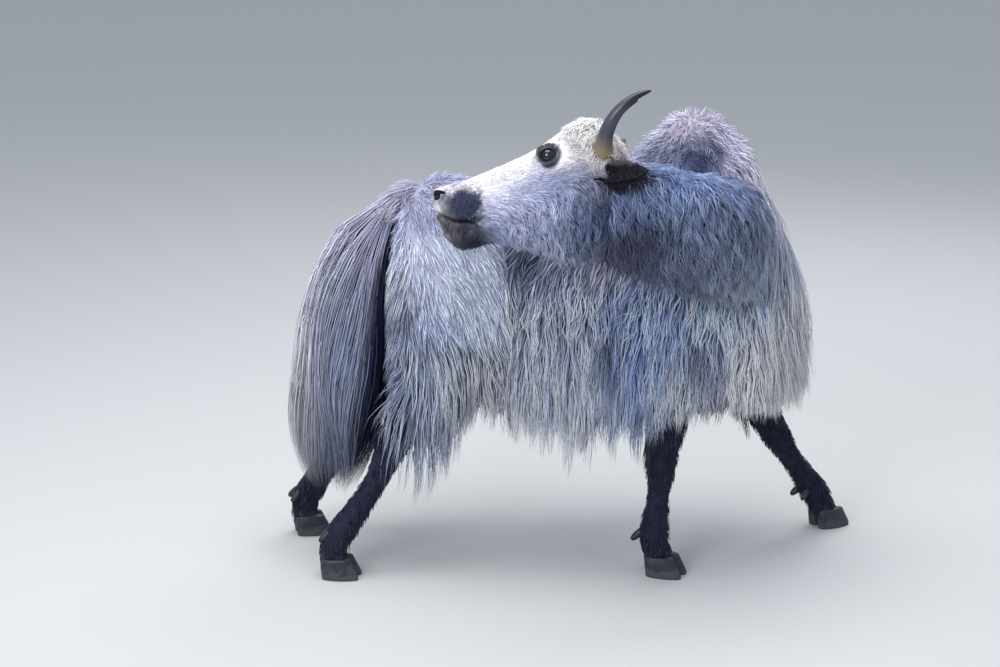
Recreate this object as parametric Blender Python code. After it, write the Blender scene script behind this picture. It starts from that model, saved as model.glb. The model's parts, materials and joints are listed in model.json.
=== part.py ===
"""Life-size model of a standing yak that turns its head back over its right flank.

Metres, +Z up. The hindquarters face -Y, the animal's right side is towards -X.
Each solid reaches out to the tips of the coat, and neighbours keep a thin gap.
"""

import math
from dataclasses import dataclass

import bmesh
import bpy
import numpy as np
from mathutils import Vector

# Driving sizes of the whole animal
GAP = 0.0003
PART_CENTRE = Vector((-0.0955, -0.0602, 0.0))
VIEW_TILT = math.radians(14.0)
SEGMENTS_BODY = 26
SEGMENTS_HEAD = 24
SEGMENTS_LIMB = 12
SEGMENTS_SMALL = 10

# Head: the middle of the skull between the eyes, its slope and its parts
HEAD_MIDDLE = Vector((-0.345, 0.0135, 1.160))
HEAD_SLOPE = math.radians(20.0)
EYE_RADIUS = 0.0205
EYE_SIDE = 0.069
HORN_BASE = (-0.128, -0.050, 0.068)
HORN_LENGTHS = {"horn_right": 0.225, "horn_left": 0.240}
HORN_RADIUS = 0.0215
HORN_TIP_RADIUS = 0.0025
HORN_LEAN = math.radians(4.0)
HORN_SWEEPS = {"horn_right": math.radians(72.0), "horn_left": math.radians(82.0)}
HORN_SPREAD = math.radians(58.0)
HORN_TURN_IN = math.radians(6.0)
EAR_ROOT = (-0.098, -0.078, 0.088)
EAR_REACH = (-0.114, 0.088)
EAR_DROOP = {"ear_right": -0.060, "ear_left": 0.050}
EAR_LENGTH = 0.158
EAR_HALF_WIDTH = 0.034
EAR_HALF_THICKNESS = 0.013

# Legs and hooves
CORONET_HEIGHT = 0.056
CORONET_STEP = 0.004
CLAW_LENGTH = 0.098
CLAW_HALF_WIDTH = 0.0205
CLAW_SPACING = 0.0235
DEWCLAW_LENGTH = 0.026
DEWCLAW_RADIUS = 0.010

# Places along the body where it is parted
TRUNK_CUTS = (0.115, -0.245)
NECK_SPLIT = 3
TAIL_SPLIT = 2


@dataclass(frozen=True)
class TrunkStation:
    """One upright slice of the trunk: its place and the reach of the coat there."""

    y: float
    x: float
    half: float
    top: float
    widest: float
    hem: float
    crest: float


@dataclass(frozen=True)
class TubeStation:
    """One slice across a neck, tail or leg: its middle and its reach each way."""

    x: float
    y: float
    z: float
    side_a: float
    side_b: float
    up: float
    down: float


@dataclass(frozen=True)
class HeadStation:
    """One slice of the head: distance towards the nose, outline heights, half width."""

    ahead: float
    top: float
    bottom: float
    half: float
    widest: float
    roof: float


TRUNK = (
    TrunkStation(0.438, 0.032, 0.140, 0.88, 0.66, 0.36, 0.95),
    TrunkStation(0.424, 0.030, 0.205, 0.970, 0.66, 0.245, 0.92),
    TrunkStation(0.370, 0.028, 0.238, 1.040, 0.66, 0.205, 0.90),
    TrunkStation(0.280, 0.030, 0.252, 1.065, 0.66, 0.200, 0.88),
    TrunkStation(0.170, 0.038, 0.266, 1.030, 0.66, 0.375, 0.86),
    TrunkStation(0.050, 0.045, 0.285, 1.026, 0.67, 0.315, 0.86),
    TrunkStation(-0.080, 0.045, 0.298, 1.036, 0.68, 0.290, 0.90),
    TrunkStation(-0.190, 0.030, 0.298, 1.085, 0.68, 0.282, 0.98),
    TrunkStation(-0.270, 0.008, 0.292, 1.175, 0.68, 0.340, 1.10),
    TrunkStation(-0.335, -0.012, 0.284, 1.243, 0.68, 0.400, 1.18),
    TrunkStation(-0.415, -0.042, 0.272, 1.247, 0.68, 0.425, 1.18),
    TrunkStation(-0.480, -0.075, 0.258, 1.165, 0.67, 0.430, 1.08),
    TrunkStation(-0.540, -0.112, 0.234, 1.015, 0.65, 0.425, 0.95),
    TrunkStation(-0.592, -0.150, 0.190, 0.875, 0.62, 0.420, 0.85),
    TrunkStation(-0.618, -0.175, 0.115, 0.745, 0.59, 0.460, 0.85),
)

NECK = (
    TubeStation(-0.060, -0.395, 0.880, 0.125, 0.130, 0.150, 0.200),
    TubeStation(-0.150, -0.440, 0.905, 0.125, 0.145, 0.165, 0.215),
    TubeStation(-0.255, -0.452, 0.945, 0.120, 0.140, 0.160, 0.200),
    TubeStation(-0.345, -0.405, 0.980, 0.115, 0.125, 0.150, 0.190),
    TubeStation(-0.388, -0.325, 1.008, 0.110, 0.115, 0.140, 0.195),
    TubeStation(-0.392, -0.240, 1.034, 0.105, 0.110, 0.130, 0.205),
    TubeStation(-0.375, -0.160, 1.058, 0.095, 0.105, 0.115, 0.205),
    TubeStation(-0.360, -0.090, 1.072, 0.080, 0.090, 0.090, 0.170),
)

HEAD = (
    HeadStation(-0.196, -0.060, -0.220, 0.060, -0.14, 0.90),
    HeadStation(-0.180, -0.005, -0.290, 0.098, -0.12, 0.85),
    HeadStation(-0.145, 0.040, -0.320, 0.112, -0.10, 0.80),
    HeadStation(-0.105, 0.064, -0.325, 0.114, -0.09, 0.80),
    HeadStation(-0.055, 0.058, -0.315, 0.112, -0.09, 0.78),
    HeadStation(-0.005, 0.037, -0.298, 0.105, -0.09, 0.72),
    HeadStation(0.045, 0.025, -0.275, 0.090, -0.09, 0.72),
    HeadStation(0.100, 0.023, -0.248, 0.076, -0.08, 0.75),
    HeadStation(0.160, 0.020, -0.212, 0.064, -0.08, 0.75),
    HeadStation(0.210, 0.018, -0.180, 0.060, -0.07, 0.72),
    HeadStation(0.250, 0.018, -0.162, 0.066, -0.06, 0.70),
    HeadStation(0.282, 0.017, -0.144, 0.063, -0.06, 0.70),
    HeadStation(0.306, 0.006, -0.126, 0.050, -0.055, 0.75),
    HeadStation(0.319, -0.022, -0.098, 0.030, -0.055, 0.85),
)

TAIL = (
    TubeStation(0.020, 0.350, 1.010, 0.034, 0.034, 0.034, 0.034),
    TubeStation(0.010, 0.425, 0.968, 0.050, 0.050, 0.050, 0.045),
    TubeStation(-0.004, 0.505, 0.862, 0.080, 0.080, 0.095, 0.078),
    TubeStation(-0.014, 0.548, 0.720, 0.100, 0.100, 0.122, 0.112),
    TubeStation(-0.020, 0.567, 0.560, 0.115, 0.115, 0.140, 0.130),
    TubeStation(-0.022, 0.577, 0.410, 0.122, 0.122, 0.147, 0.145),
    TubeStation(-0.022, 0.583, 0.290, 0.112, 0.112, 0.132, 0.135),
    TubeStation(-0.022, 0.586, 0.200, 0.078, 0.078, 0.096, 0.100),
    TubeStation(-0.022, 0.587, 0.172, 0.040, 0.040, 0.050, 0.050),
)


def leg_station(x: float, y: float, z: float, radius: float, deep: float = 1.0) -> TubeStation:
    """A slice of a leg, a little deeper from front to back where deep is over one."""
    return TubeStation(x, y, z, radius, radius, radius * deep, radius * deep)


LEGS = {
    "foreleg_right": (
        leg_station(-0.165, -0.320, 0.540, 0.068, 1.10),
        leg_station(-0.176, -0.312, 0.430, 0.056, 1.05),
        leg_station(-0.190, -0.296, 0.310, 0.043),
        leg_station(-0.196, -0.288, 0.210, 0.032, 1.05),
        leg_station(-0.200, -0.276, 0.118, 0.040, 1.10),
        leg_station(-0.203, -0.284, 0.078, 0.036, 1.10),
        leg_station(-0.205, -0.290, CORONET_HEIGHT, 0.041, 1.10),
    ),
    "foreleg_left": (
        leg_station(0.070, -0.530, 0.540, 0.068, 1.10),
        leg_station(0.100, -0.568, 0.420, 0.055, 1.05),
        leg_station(0.138, -0.626, 0.300, 0.043),
        leg_station(0.170, -0.686, 0.205, 0.032, 1.05),
        leg_station(0.198, -0.744, 0.118, 0.040, 1.10),
        leg_station(0.210, -0.768, 0.078, 0.036, 1.10),
        leg_station(0.216, -0.778, CORONET_HEIGHT, 0.041, 1.10),
    ),
    "hindleg_right": (
        leg_station(-0.120, 0.300, 0.560, 0.066, 1.15),
        leg_station(-0.138, 0.350, 0.460, 0.054, 1.15),
        leg_station(-0.162, 0.412, 0.362, 0.041, 1.20),
        leg_station(-0.188, 0.474, 0.240, 0.032, 1.10),
        leg_station(-0.212, 0.560, 0.120, 0.040, 1.10),
        leg_station(-0.221, 0.582, 0.078, 0.036, 1.10),
        leg_station(-0.225, 0.580, CORONET_HEIGHT, 0.041, 1.10),
    ),
    "hindleg_left": (
        leg_station(0.150, 0.310, 0.560, 0.066, 1.15),
        leg_station(0.168, 0.400, 0.480, 0.054, 1.15),
        leg_station(0.178, 0.500, 0.378, 0.041, 1.20),
        leg_station(0.174, 0.580, 0.250, 0.032, 1.10),
        leg_station(0.162, 0.670, 0.120, 0.040, 1.10),
        leg_station(0.156, 0.682, 0.078, 0.036, 1.10),
        leg_station(0.154, 0.680, CORONET_HEIGHT, 0.041, 1.10),
    ),
}

# Which way each hoof points, as an angle from -Y towards -X
TOE_ANGLES = {
    "foreleg_right": math.radians(22.0),
    "foreleg_left": math.radians(-28.0),
    "hindleg_right": math.radians(8.0),
    "hindleg_left": math.radians(-12.0),
}

COLOURS = {
    "coat": ((0.42, 0.44, 0.52, 1.0), 0.85),
    "pale": ((0.72, 0.70, 0.74, 1.0), 0.85),
    "dark": ((0.045, 0.045, 0.06, 1.0), 0.80),
    "horn": ((0.10, 0.10, 0.13, 1.0), 0.35),
    "hoof": ((0.05, 0.045, 0.045, 1.0), 0.55),
    "eye": ((0.01, 0.01, 0.015, 1.0), 0.05),
}


def clear_scene() -> None:
    """Remove every object of the opening scene."""
    for obj in list(bpy.data.objects):
        bpy.data.objects.remove(obj, do_unlink=True)


def make_material(name: str) -> bpy.types.Material:
    """Principled material of one of the animal's plain colours."""
    found = bpy.data.materials.get(name)
    if found:
        return found
    colour, roughness = COLOURS[name]
    material = bpy.data.materials.new(name)
    material.use_nodes = True
    shader = material.node_tree.nodes["Principled BSDF"]
    shader.inputs["Base Color"].default_value = colour
    shader.inputs["Roughness"].default_value = roughness
    shader.inputs["Metallic"].default_value = 0.0
    return material


def smooth_rows(rows, steps: int) -> list:
    """Rows on a Catmull-Rom curve through the given stations."""
    kind = type(rows[0])
    table = np.array([list(row.__dict__.values()) for row in rows])
    padded = np.vstack([2 * table[0] - table[1], table, 2 * table[-1] - table[-2]])
    result = []
    for index in range(len(table) - 1):
        before, start, end, after = padded[index:index + 4]
        for step in range(steps):
            t = step / steps
            value = 0.5 * (
                2 * start
                + (end - before) * t
                + (2 * before - 5 * start + 4 * end - after) * t * t
                + (3 * start - before - 3 * end + after) * t ** 3
            )
            result.append(kind(*value))
    result.append(rows[-1])
    return result


def signed_power(value: float, power: float) -> float:
    """Power of a number's size that keeps its sign."""
    return math.copysign(abs(value) ** power, value)


def new_object(name: str, mesh_data: bmesh.types.BMesh, material: str) -> bpy.types.Object:
    """Object with this mesh, its normals outward and its own material."""
    bmesh.ops.recalc_face_normals(mesh_data, faces=mesh_data.faces)
    mesh = bpy.data.meshes.new(name)
    mesh_data.to_mesh(mesh)
    mesh_data.free()
    mesh.materials.append(make_material(material))
    mesh.shade_smooth()
    mesh.set_sharp_from_angle(angle=math.radians(50.0))
    obj = bpy.data.objects.new(name, mesh)
    bpy.context.scene.collection.objects.link(obj)
    return obj


def loft(name: str, rings: list, material: str, tips=(None, None)) -> bpy.types.Object:
    """Closed skin over rings of points, each end flat or drawn to a tip.

    A tip is the point that an end is drawn to; None leaves that end flat.
    """
    mesh_data = bmesh.new()
    loops = [[mesh_data.verts.new(point) for point in ring] for ring in rings]
    count = len(rings[0])
    for lower, upper in zip(loops, loops[1:]):
        for k in range(count):
            following = (k + 1) % count
            mesh_data.faces.new((lower[k], lower[following], upper[following], upper[k]))
    for loop, tip in ((loops[0], tips[0]), (loops[-1], tips[1])):
        if tip is None:
            mesh_data.faces.new(loop)
            continue
        apex = mesh_data.verts.new(tip)
        for k in range(count):
            mesh_data.faces.new((loop[k], loop[(k + 1) % count], apex))
    bmesh.ops.triangulate(mesh_data, faces=mesh_data.faces)
    return new_object(name, mesh_data, material)


def trunk_ring(row: TrunkStation, tangent: Vector, count: int) -> list:
    """Upright slice: narrow back, full sides and a squarer hem of hanging hair."""
    side = Vector((-tangent.y, tangent.x, 0.0)).normalized()
    points = []
    for k in range(count):
        angle = 2 * math.pi * k / count
        above = math.sin(angle) >= 0
        power = row.crest if above else 0.52
        reach = row.top - row.widest if above else row.widest - row.hem
        across = row.half * signed_power(math.cos(angle), power)
        height = row.widest + reach * signed_power(math.sin(angle), power)
        points.append(Vector((row.x, row.y, height)) + side * across)
    return points


def tangent_at(places: list, index: int) -> Vector:
    """Direction of the path at one of its places."""
    ahead = places[min(index + 1, len(places) - 1)]
    behind = places[max(index - 1, 0)]
    return (ahead - behind).normalized()


def parted_lengths(names: tuple, rings: list, lines: list, cuts: tuple) -> list:
    """Lengths of one lofted body that meet on flat slices, a thin gap apart."""
    bounds = (0, *cuts, len(rings) - 1)
    pieces = []
    for name, start, end in zip(names, bounds, bounds[1:]):
        part = rings[start:end + 1]
        if start > 0:
            shift = lines[start] * (GAP / 2)
            part[0] = [point + shift for point in part[0]]
        if end < len(rings) - 1:
            shift = lines[end] * (-GAP / 2)
            part[-1] = [point + shift for point in part[-1]]
        pieces.append(loft(name, part, "coat"))
    return pieces


def tube_rings(rows: list, across, count: int, power: float = 0.9) -> tuple:
    """Slices square to the path of a tube, and the path's direction at each."""
    places = [Vector((row.x, row.y, row.z)) for row in rows]
    rings = []
    lines = []
    for index, row in enumerate(rows):
        tangent = tangent_at(places, index)
        side = across(tangent)
        rise = side.cross(tangent).normalized()
        ring = []
        for k in range(count):
            angle = 2 * math.pi * k / count
            wide = row.side_a if math.cos(angle) >= 0 else row.side_b
            tall = row.up if math.sin(angle) >= 0 else row.down
            ring.append(
                places[index]
                + side * (wide * signed_power(math.cos(angle), power))
                + rise * (tall * signed_power(math.sin(angle), power))
            )
        rings.append(ring)
        lines.append(tangent)
    return rings, lines


def level_side(tangent: Vector) -> Vector:
    """Level direction across a path, towards the inside of the neck's bend."""
    return tangent.cross(Vector((0.0, 0.0, 1.0))).normalized()


def body_side(tangent: Vector) -> Vector:
    """Direction across a hanging path, nearest to the animal's left."""
    left = Vector((1.0, 0.0, 0.0))
    return (left - tangent * left.dot(tangent)).normalized()


def head_point(ahead: float, up: float, side: float) -> Vector:
    """Place in the head's own frame: towards the nose, up, and to the head's right."""
    left = Vector((0.0, 1.0, 0.0))
    rise = Vector((math.sin(VIEW_TILT), 0.0, math.cos(VIEW_TILT)))
    right = Vector((math.cos(VIEW_TILT), 0.0, -math.sin(VIEW_TILT)))
    forward = left * math.cos(HEAD_SLOPE) - rise * math.sin(HEAD_SLOPE)
    crown = left * math.sin(HEAD_SLOPE) + rise * math.cos(HEAD_SLOPE)
    return HEAD_MIDDLE + forward * ahead + crown * up + right * side


def head_ring(row: HeadStation, count: int) -> list:
    """Slice of the head: flat bridge or brow above, narrow jaw and beard below."""
    ring = []
    for k in range(count):
        angle = 2 * math.pi * k / count
        above = math.sin(angle) >= 0
        power = row.roof if above else 1.0
        reach = row.top - row.widest if above else row.widest - row.bottom
        side = row.half * signed_power(math.cos(angle), power)
        up = row.widest + reach * signed_power(math.sin(angle), power)
        ring.append(head_point(row.ahead, up, side))
    return ring


def make_head() -> bpy.types.Object:
    """The head with its cheeks and beard, closed flat at both ends."""
    rings = [head_ring(row, SEGMENTS_HEAD) for row in smooth_rows(HEAD, 2)]
    return loft("head", rings, "pale")


def make_trunk() -> list:
    """Rump, barrel and chest with its hump: three lengths of one curved trunk."""
    rows = smooth_rows(TRUNK, 2)
    places = [Vector((row.x, row.y, 0.0)) for row in rows]
    lines = [tangent_at(places, index) for index in range(len(rows))]
    rings = [trunk_ring(row, line, SEGMENTS_BODY) for row, line in zip(rows, lines)]
    cuts = tuple(min(range(len(rows)), key=lambda k: abs(rows[k].y - place)) for place in TRUNK_CUTS)
    return parted_lengths(("rump", "barrel", "chest"), rings, lines, cuts)


def make_tube_pair(names: tuple, stations: tuple, split: int, across) -> list:
    """A long bent part in two lengths that meet on a flat slice."""
    steps = 2
    rings, lines = tube_rings(smooth_rows(stations, steps), across, SEGMENTS_BODY)
    return parted_lengths(names, rings, lines, (split * steps,))


def make_horn(name: str, side: float) -> bpy.types.Object:
    """Horn that rises outwards from the brow and sweeps back to a fine tip."""
    steps = 12
    step_length = HORN_LENGTHS[name] / steps
    ahead, up, out = HORN_BASE
    path = []
    for index in range(steps + 1):
        t = index / steps
        lean = HORN_LEAN - HORN_SWEEPS[name] * t ** 1.15 - HEAD_SLOPE
        spread = HORN_SPREAD * (1.0 - t) ** 1.2 - HORN_TURN_IN
        path.append((ahead, up, out, HORN_RADIUS * (1.0 - t) ** 0.62 + HORN_TIP_RADIUS))
        ahead += step_length * math.cos(spread) * math.sin(lean)
        up += step_length * math.cos(spread) * math.cos(lean)
        out += step_length * math.sin(spread)
    places = [head_point(a, u, side * o) for a, u, o, _ in path]
    rings = []
    for index, (_, _, _, radius) in enumerate(path):
        tangent = tangent_at(places, index)
        across = tangent.cross(Vector((0.0, 1.0, 0.0))).normalized()
        rise = across.cross(tangent).normalized()
        ring = []
        for k in range(SEGMENTS_SMALL):
            angle = 2 * math.pi * k / SEGMENTS_SMALL
            ring.append(places[index] + (across * math.cos(angle) + rise * math.sin(angle)) * radius)
        rings.append(ring)
    return loft(name, rings, "horn")


def make_ear(name: str, side: float) -> bpy.types.Object:
    """Leaf-shaped ear with its fringe, set behind the eye and pointing back."""
    ahead, up, out = EAR_ROOT
    back, outward = EAR_REACH
    root = head_point(ahead, up, side * out)
    tip = head_point(ahead + back, up - EAR_DROOP[name], side * (out + outward))
    along = (tip - root).normalized()
    edge = head_point(0.3, -0.9, side * 0.4) - HEAD_MIDDLE
    flat = along.cross(edge).normalized()
    width = flat.cross(along).normalized()
    rings = []
    steps = 7
    for index in range(steps + 1):
        t = index / steps
        swell = math.sin(math.pi * (0.16 + 0.80 * t)) ** 0.8
        centre = root + along * (EAR_LENGTH * t)
        ring = []
        for k in range(SEGMENTS_SMALL):
            angle = 2 * math.pi * k / SEGMENTS_SMALL
            ring.append(
                centre
                + width * (EAR_HALF_WIDTH * swell * math.cos(angle))
                + flat * (EAR_HALF_THICKNESS * swell * math.sin(angle))
            )
        rings.append(ring)
    return loft(name, rings, "dark")


def make_eye(name: str, side: float) -> bpy.types.Object:
    """Round eyeball in its socket."""
    mesh_data = bmesh.new()
    bmesh.ops.create_icosphere(mesh_data, subdivisions=2, radius=EYE_RADIUS)
    bmesh.ops.translate(mesh_data, verts=mesh_data.verts, vec=head_point(0.0, 0.0, side * EYE_SIDE))
    return new_object(name, mesh_data, "eye")


def toe_direction(angle: float) -> Vector:
    """Level direction that a hoof points in."""
    return Vector((-math.sin(angle), -math.cos(angle), 0.0))


def make_claw(name: str, middle: Vector, toe: Vector, out: Vector) -> bpy.types.Object:
    """One half of a cloven hoof, with a flat sole on the floor and a sloping front."""
    levels = ((0.0, 0.500, 0.92, 0.012), (0.010, 0.500, 1.0, 0.011), (0.034, 0.455, 0.98, 0.004),
              (CORONET_HEIGHT - 2 * GAP, 0.400, 0.90, 0.0))
    rings = []
    for height, half_length, wide, shift in levels:
        ring = []
        for k in range(SEGMENTS_LIMB):
            angle = 2 * math.pi * k / SEGMENTS_LIMB
            along = CLAW_LENGTH * half_length * signed_power(math.cos(angle), 0.80)
            across = CLAW_HALF_WIDTH * wide * signed_power(math.sin(angle), 0.75)
            across *= 1.0 - 0.28 * max(math.cos(angle), 0.0)
            base = middle + toe * (shift + along) + out * across
            ring.append(Vector((base.x, base.y, height)))
        rings.append(ring)
    return loft(name, rings, "hoof")


def make_dewclaw(name: str, root: Vector, along: Vector) -> bpy.types.Object:
    """Small blunt horn button behind the fetlock."""
    across = along.cross(Vector((0.0, 0.0, 1.0))).normalized()
    rise = across.cross(along).normalized()
    rings = []
    for reach, share in ((-0.4, 1.0), (0.45, 0.95), (1.0, 0.45)):
        ring = []
        for k in range(8):
            angle = 2 * math.pi * k / 8
            turn = across * math.cos(angle) + rise * math.sin(angle)
            ring.append(root + along * (DEWCLAW_LENGTH * reach) + turn * (DEWCLAW_RADIUS * share))
        rings.append(ring)
    return loft(name, rings, "hoof")


def make_leg(name: str) -> tuple:
    """One leg from inside the coat down to the coronet, its claws and dewclaws."""
    rows = smooth_rows(LEGS[name], 2)
    rings, _ = tube_rings(rows, body_side, SEGMENTS_LIMB)
    for above, ring in enumerate(reversed(rings)):
        lowest = CORONET_HEIGHT + above * CORONET_STEP
        for point in ring:
            point.z = max(point.z, lowest) if above else lowest
    leg = loft(name, rings, "dark")
    toe = toe_direction(TOE_ANGLES[name])
    out = Vector((-toe.y, toe.x, 0.0))
    last = rows[-1]
    middle = Vector((last.x, last.y, 0.0))
    fetlock = min(LEGS[name], key=lambda row: abs(row.z - 0.118))
    claws = []
    dewclaws = []
    inward = 1.0 if middle.x < LEGS[name][0].x else -1.0
    for label, turn in (("inner", inward), ("outer", -inward)):
        place = middle + out * (turn * CLAW_SPACING) + toe * 0.010
        claws.append(make_claw(f"claw_{name}_{label}", place, toe, out))
        back = (toe * -0.75 + out * (0.35 * turn) - Vector((0.0, 0.0, 0.75))).normalized()
        root = Vector((fetlock.x, fetlock.y, fetlock.z - 0.004)) - toe * 0.036 + out * (0.020 * turn)
        dewclaws.append(make_dewclaw(f"dewclaw_{name}_{label}", root, back))
    return leg, claws, dewclaws


def grown_copy(obj: bpy.types.Object, distance: float) -> bpy.types.Object:
    """Copy of a solid with its skin moved outwards, used as a cutter."""
    mesh = obj.data.copy()
    normals = [vertex.normal.copy() for vertex in mesh.vertices]
    for vertex, normal in zip(mesh.vertices, normals):
        vertex.co += normal * distance
    copy = bpy.data.objects.new(obj.name + "_cutter", mesh)
    bpy.context.scene.collection.objects.link(copy)
    return copy


def keep_largest(mesh: bpy.types.Mesh) -> None:
    """Drop crumbs that a cut leaves, so that one body remains."""
    mesh_data = bmesh.new()
    mesh_data.from_mesh(mesh)
    bmesh.ops.remove_doubles(mesh_data, verts=mesh_data.verts, dist=1e-6)
    bmesh.ops.triangulate(mesh_data, faces=mesh_data.faces)
    unseen = set(mesh_data.faces)
    groups = []
    while unseen:
        stack = [unseen.pop()]
        group = list(stack)
        while stack:
            face = stack.pop()
            for edge in face.edges:
                for other in edge.link_faces:
                    if other in unseen:
                        unseen.remove(other)
                        stack.append(other)
                        group.append(other)
        groups.append(group)
    groups.sort(key=lambda group: sum(face.calc_area() for face in group))
    for group in groups[:-1]:
        bmesh.ops.delete(mesh_data, geom=group, context="FACES")
    mesh_data.to_mesh(mesh)
    mesh_data.free()


def carve(target: bpy.types.Object, shape: bpy.types.Object, gap: float = 2 * GAP) -> None:
    """Take a neighbour's solid, grown by the gap, out of this one."""
    cutter = grown_copy(shape, gap)
    modifier = target.modifiers.new("carve", "BOOLEAN")
    modifier.operation = "DIFFERENCE"
    modifier.solver = "EXACT"
    modifier.object = cutter
    graph = bpy.context.evaluated_depsgraph_get()
    result = bpy.data.meshes.new_from_object(target.evaluated_get(graph))
    target.modifiers.clear()
    keep_largest(result)
    target.data = result
    bpy.data.objects.remove(cutter, do_unlink=True)


def build() -> None:
    """Make the parts, part them from one another and centre the model."""
    clear_scene()
    trunk = make_trunk()
    rump, barrel, chest = trunk
    neck_lower, neck_upper = make_tube_pair(("neck_lower", "neck_upper"), NECK, NECK_SPLIT, level_side)
    tail_dock, tail_switch = make_tube_pair(("tail_dock", "tail_switch"), TAIL, TAIL_SPLIT, body_side)
    head = make_head()
    horns = [make_horn("horn_right", 1.0), make_horn("horn_left", -1.0)]
    ears = [make_ear("ear_right", 1.0), make_ear("ear_left", -1.0)]
    eyes = [make_eye("eye_right", 1.0), make_eye("eye_left", -1.0)]
    for piece in horns + eyes:
        carve(head, piece)
    for ear in ears:
        carve(ear, head)
        for horn in horns:
            carve(ear, horn)
    for neck in (neck_lower, neck_upper):
        for piece in [head] + ears + horns:
            carve(neck, piece)
    for name in LEGS:
        leg, claws, dewclaws = make_leg(name)
        for piece in claws + dewclaws:
            carve(piece, leg)
        for part in trunk:
            carve(part, leg)
        carve(tail_switch, leg)
    for part in trunk:
        for piece in (neck_lower, neck_upper, head, ears[0], ears[1]):
            carve(part, piece)
    for tail in (tail_dock, tail_switch):
        carve(tail, rump)
    for obj in bpy.data.objects:
        for vertex in obj.data.vertices:
            vertex.co -= PART_CENTRE
        obj.data.update()


build()
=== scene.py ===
"""Looks of a long-haired yak at life size, standing with its head turned back over its flank.

One closed skin follows the flesh, and the coat lies over it as joined meshes of tapered tufts. The horns,
eyes, hooves and dewclaws are pieces of their own. Lengths are in metres. Stations are measured from the
middle of the trunk's own line, and OFFSET brings a finished piece into the frame.
"""

import json
import logging
import math
from dataclasses import dataclass, field
from enum import Enum

import bmesh
import bpy
import numpy as np
from mathutils import Matrix, Vector, noise
from mathutils.bvhtree import BVHTree
from mathutils.kdtree import KDTree

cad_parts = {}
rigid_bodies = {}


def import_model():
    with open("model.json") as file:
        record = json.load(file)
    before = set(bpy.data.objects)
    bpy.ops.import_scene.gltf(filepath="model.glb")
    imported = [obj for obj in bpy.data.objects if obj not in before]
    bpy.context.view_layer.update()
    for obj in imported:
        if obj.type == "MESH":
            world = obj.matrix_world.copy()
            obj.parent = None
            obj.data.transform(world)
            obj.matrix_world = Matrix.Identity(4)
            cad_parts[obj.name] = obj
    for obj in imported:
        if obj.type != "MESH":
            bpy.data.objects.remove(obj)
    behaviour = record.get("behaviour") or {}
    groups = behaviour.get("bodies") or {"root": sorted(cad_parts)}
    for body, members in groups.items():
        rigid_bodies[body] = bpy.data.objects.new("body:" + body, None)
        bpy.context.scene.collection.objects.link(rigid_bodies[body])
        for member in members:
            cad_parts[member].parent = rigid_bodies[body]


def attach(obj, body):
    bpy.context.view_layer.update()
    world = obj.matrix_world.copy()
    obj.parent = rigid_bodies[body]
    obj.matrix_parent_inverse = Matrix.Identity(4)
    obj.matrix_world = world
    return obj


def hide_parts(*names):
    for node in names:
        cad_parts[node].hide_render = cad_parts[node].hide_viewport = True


for leftover in list(bpy.data.objects):
    bpy.data.objects.remove(leftover)
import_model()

LOG = logging.getLogger("yak")
OFFSET = Vector((0.0955, 0.0602, 0.0))
BODY = "root"
SEED = 65
PIECE_TRIANGLES = 185000
BAKE_MAP = "OFBake"
BAKE_PATCH = 0.003
SLOTS = {"head": "face_coat", "ears": "dark_coat", "legs": "dark_coat"}


class Hand(Enum):
    """The animal's two sides, as the sign of the head's sideways axis."""

    LEFT = -1
    RIGHT = 1


class Region(Enum):
    """Parts of the skin that carry a coat of their own kind."""

    TRUNK = 0
    NECK = 1
    HEAD = 2
    EAR = 3
    LEG = 4
    TAIL = 5


# Small helpers for curves and meshes


def smooth_rows(rows: tuple, steps: int) -> np.ndarray:
    """Rows on a Catmull-Rom curve through the given stations.

    Args:
        rows: Stations, each a tuple of numbers.
        steps: Rows made for each span.

    Returns:
        One row for each place on the curve.
    """
    table = np.array(rows, float)
    padded = np.vstack([2 * table[0] - table[1], table, 2 * table[-1] - table[-2]])
    result = []
    for index in range(len(table) - 1):
        before, start, end, after = padded[index:index + 4]
        for step in range(steps):
            t = step / steps
            bend = (2 * before - 5 * start + 4 * end - after) * t * t
            swing = (3 * start - before - 3 * end + after) * t ** 3
            result.append(0.5 * (2 * start + (end - before) * t + bend + swing))
    result.append(table[-1])
    return np.array(result)


def signed_power(value: float, power: float) -> float:
    """Power of a number's size that keeps its sign."""
    return math.copysign(abs(value) ** power, value)


def ramp(value: np.ndarray, start: float, end: float) -> np.ndarray:
    """Smooth rise from 0 at start to 1 at end, or a fall where end is the lower."""
    t = np.clip((value - start) / (end - start), 0.0, 1.0)
    return t * t * (3 - 2 * t)


def bell(value: np.ndarray, width: float) -> np.ndarray:
    """Smooth bump of height 1 round zero."""
    return np.exp(-(value / width) ** 2)


def unit(vectors: np.ndarray) -> np.ndarray:
    """Vectors brought to length 1 along the last axis."""
    length = np.linalg.norm(vectors, axis=-1, keepdims=True)
    return vectors / np.maximum(length, 1e-9)


def dots(a: np.ndarray, b: np.ndarray) -> np.ndarray:
    """Dot products along the last axis, kept as a column."""
    return np.sum(a * b, axis=-1, keepdims=True)


def mottle(points: np.ndarray, size: float, shift: float) -> np.ndarray:
    """Smooth noise from about -1 to 1.

    Args:
        points: Places, one for each row.
        size: Width of a blotch.
        shift: Moves the pattern, so that each use has its own.

    Returns:
        One number for each place.
    """
    places = points / size + shift
    return np.array([noise.noise(place) for place in places.tolist()])


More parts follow.
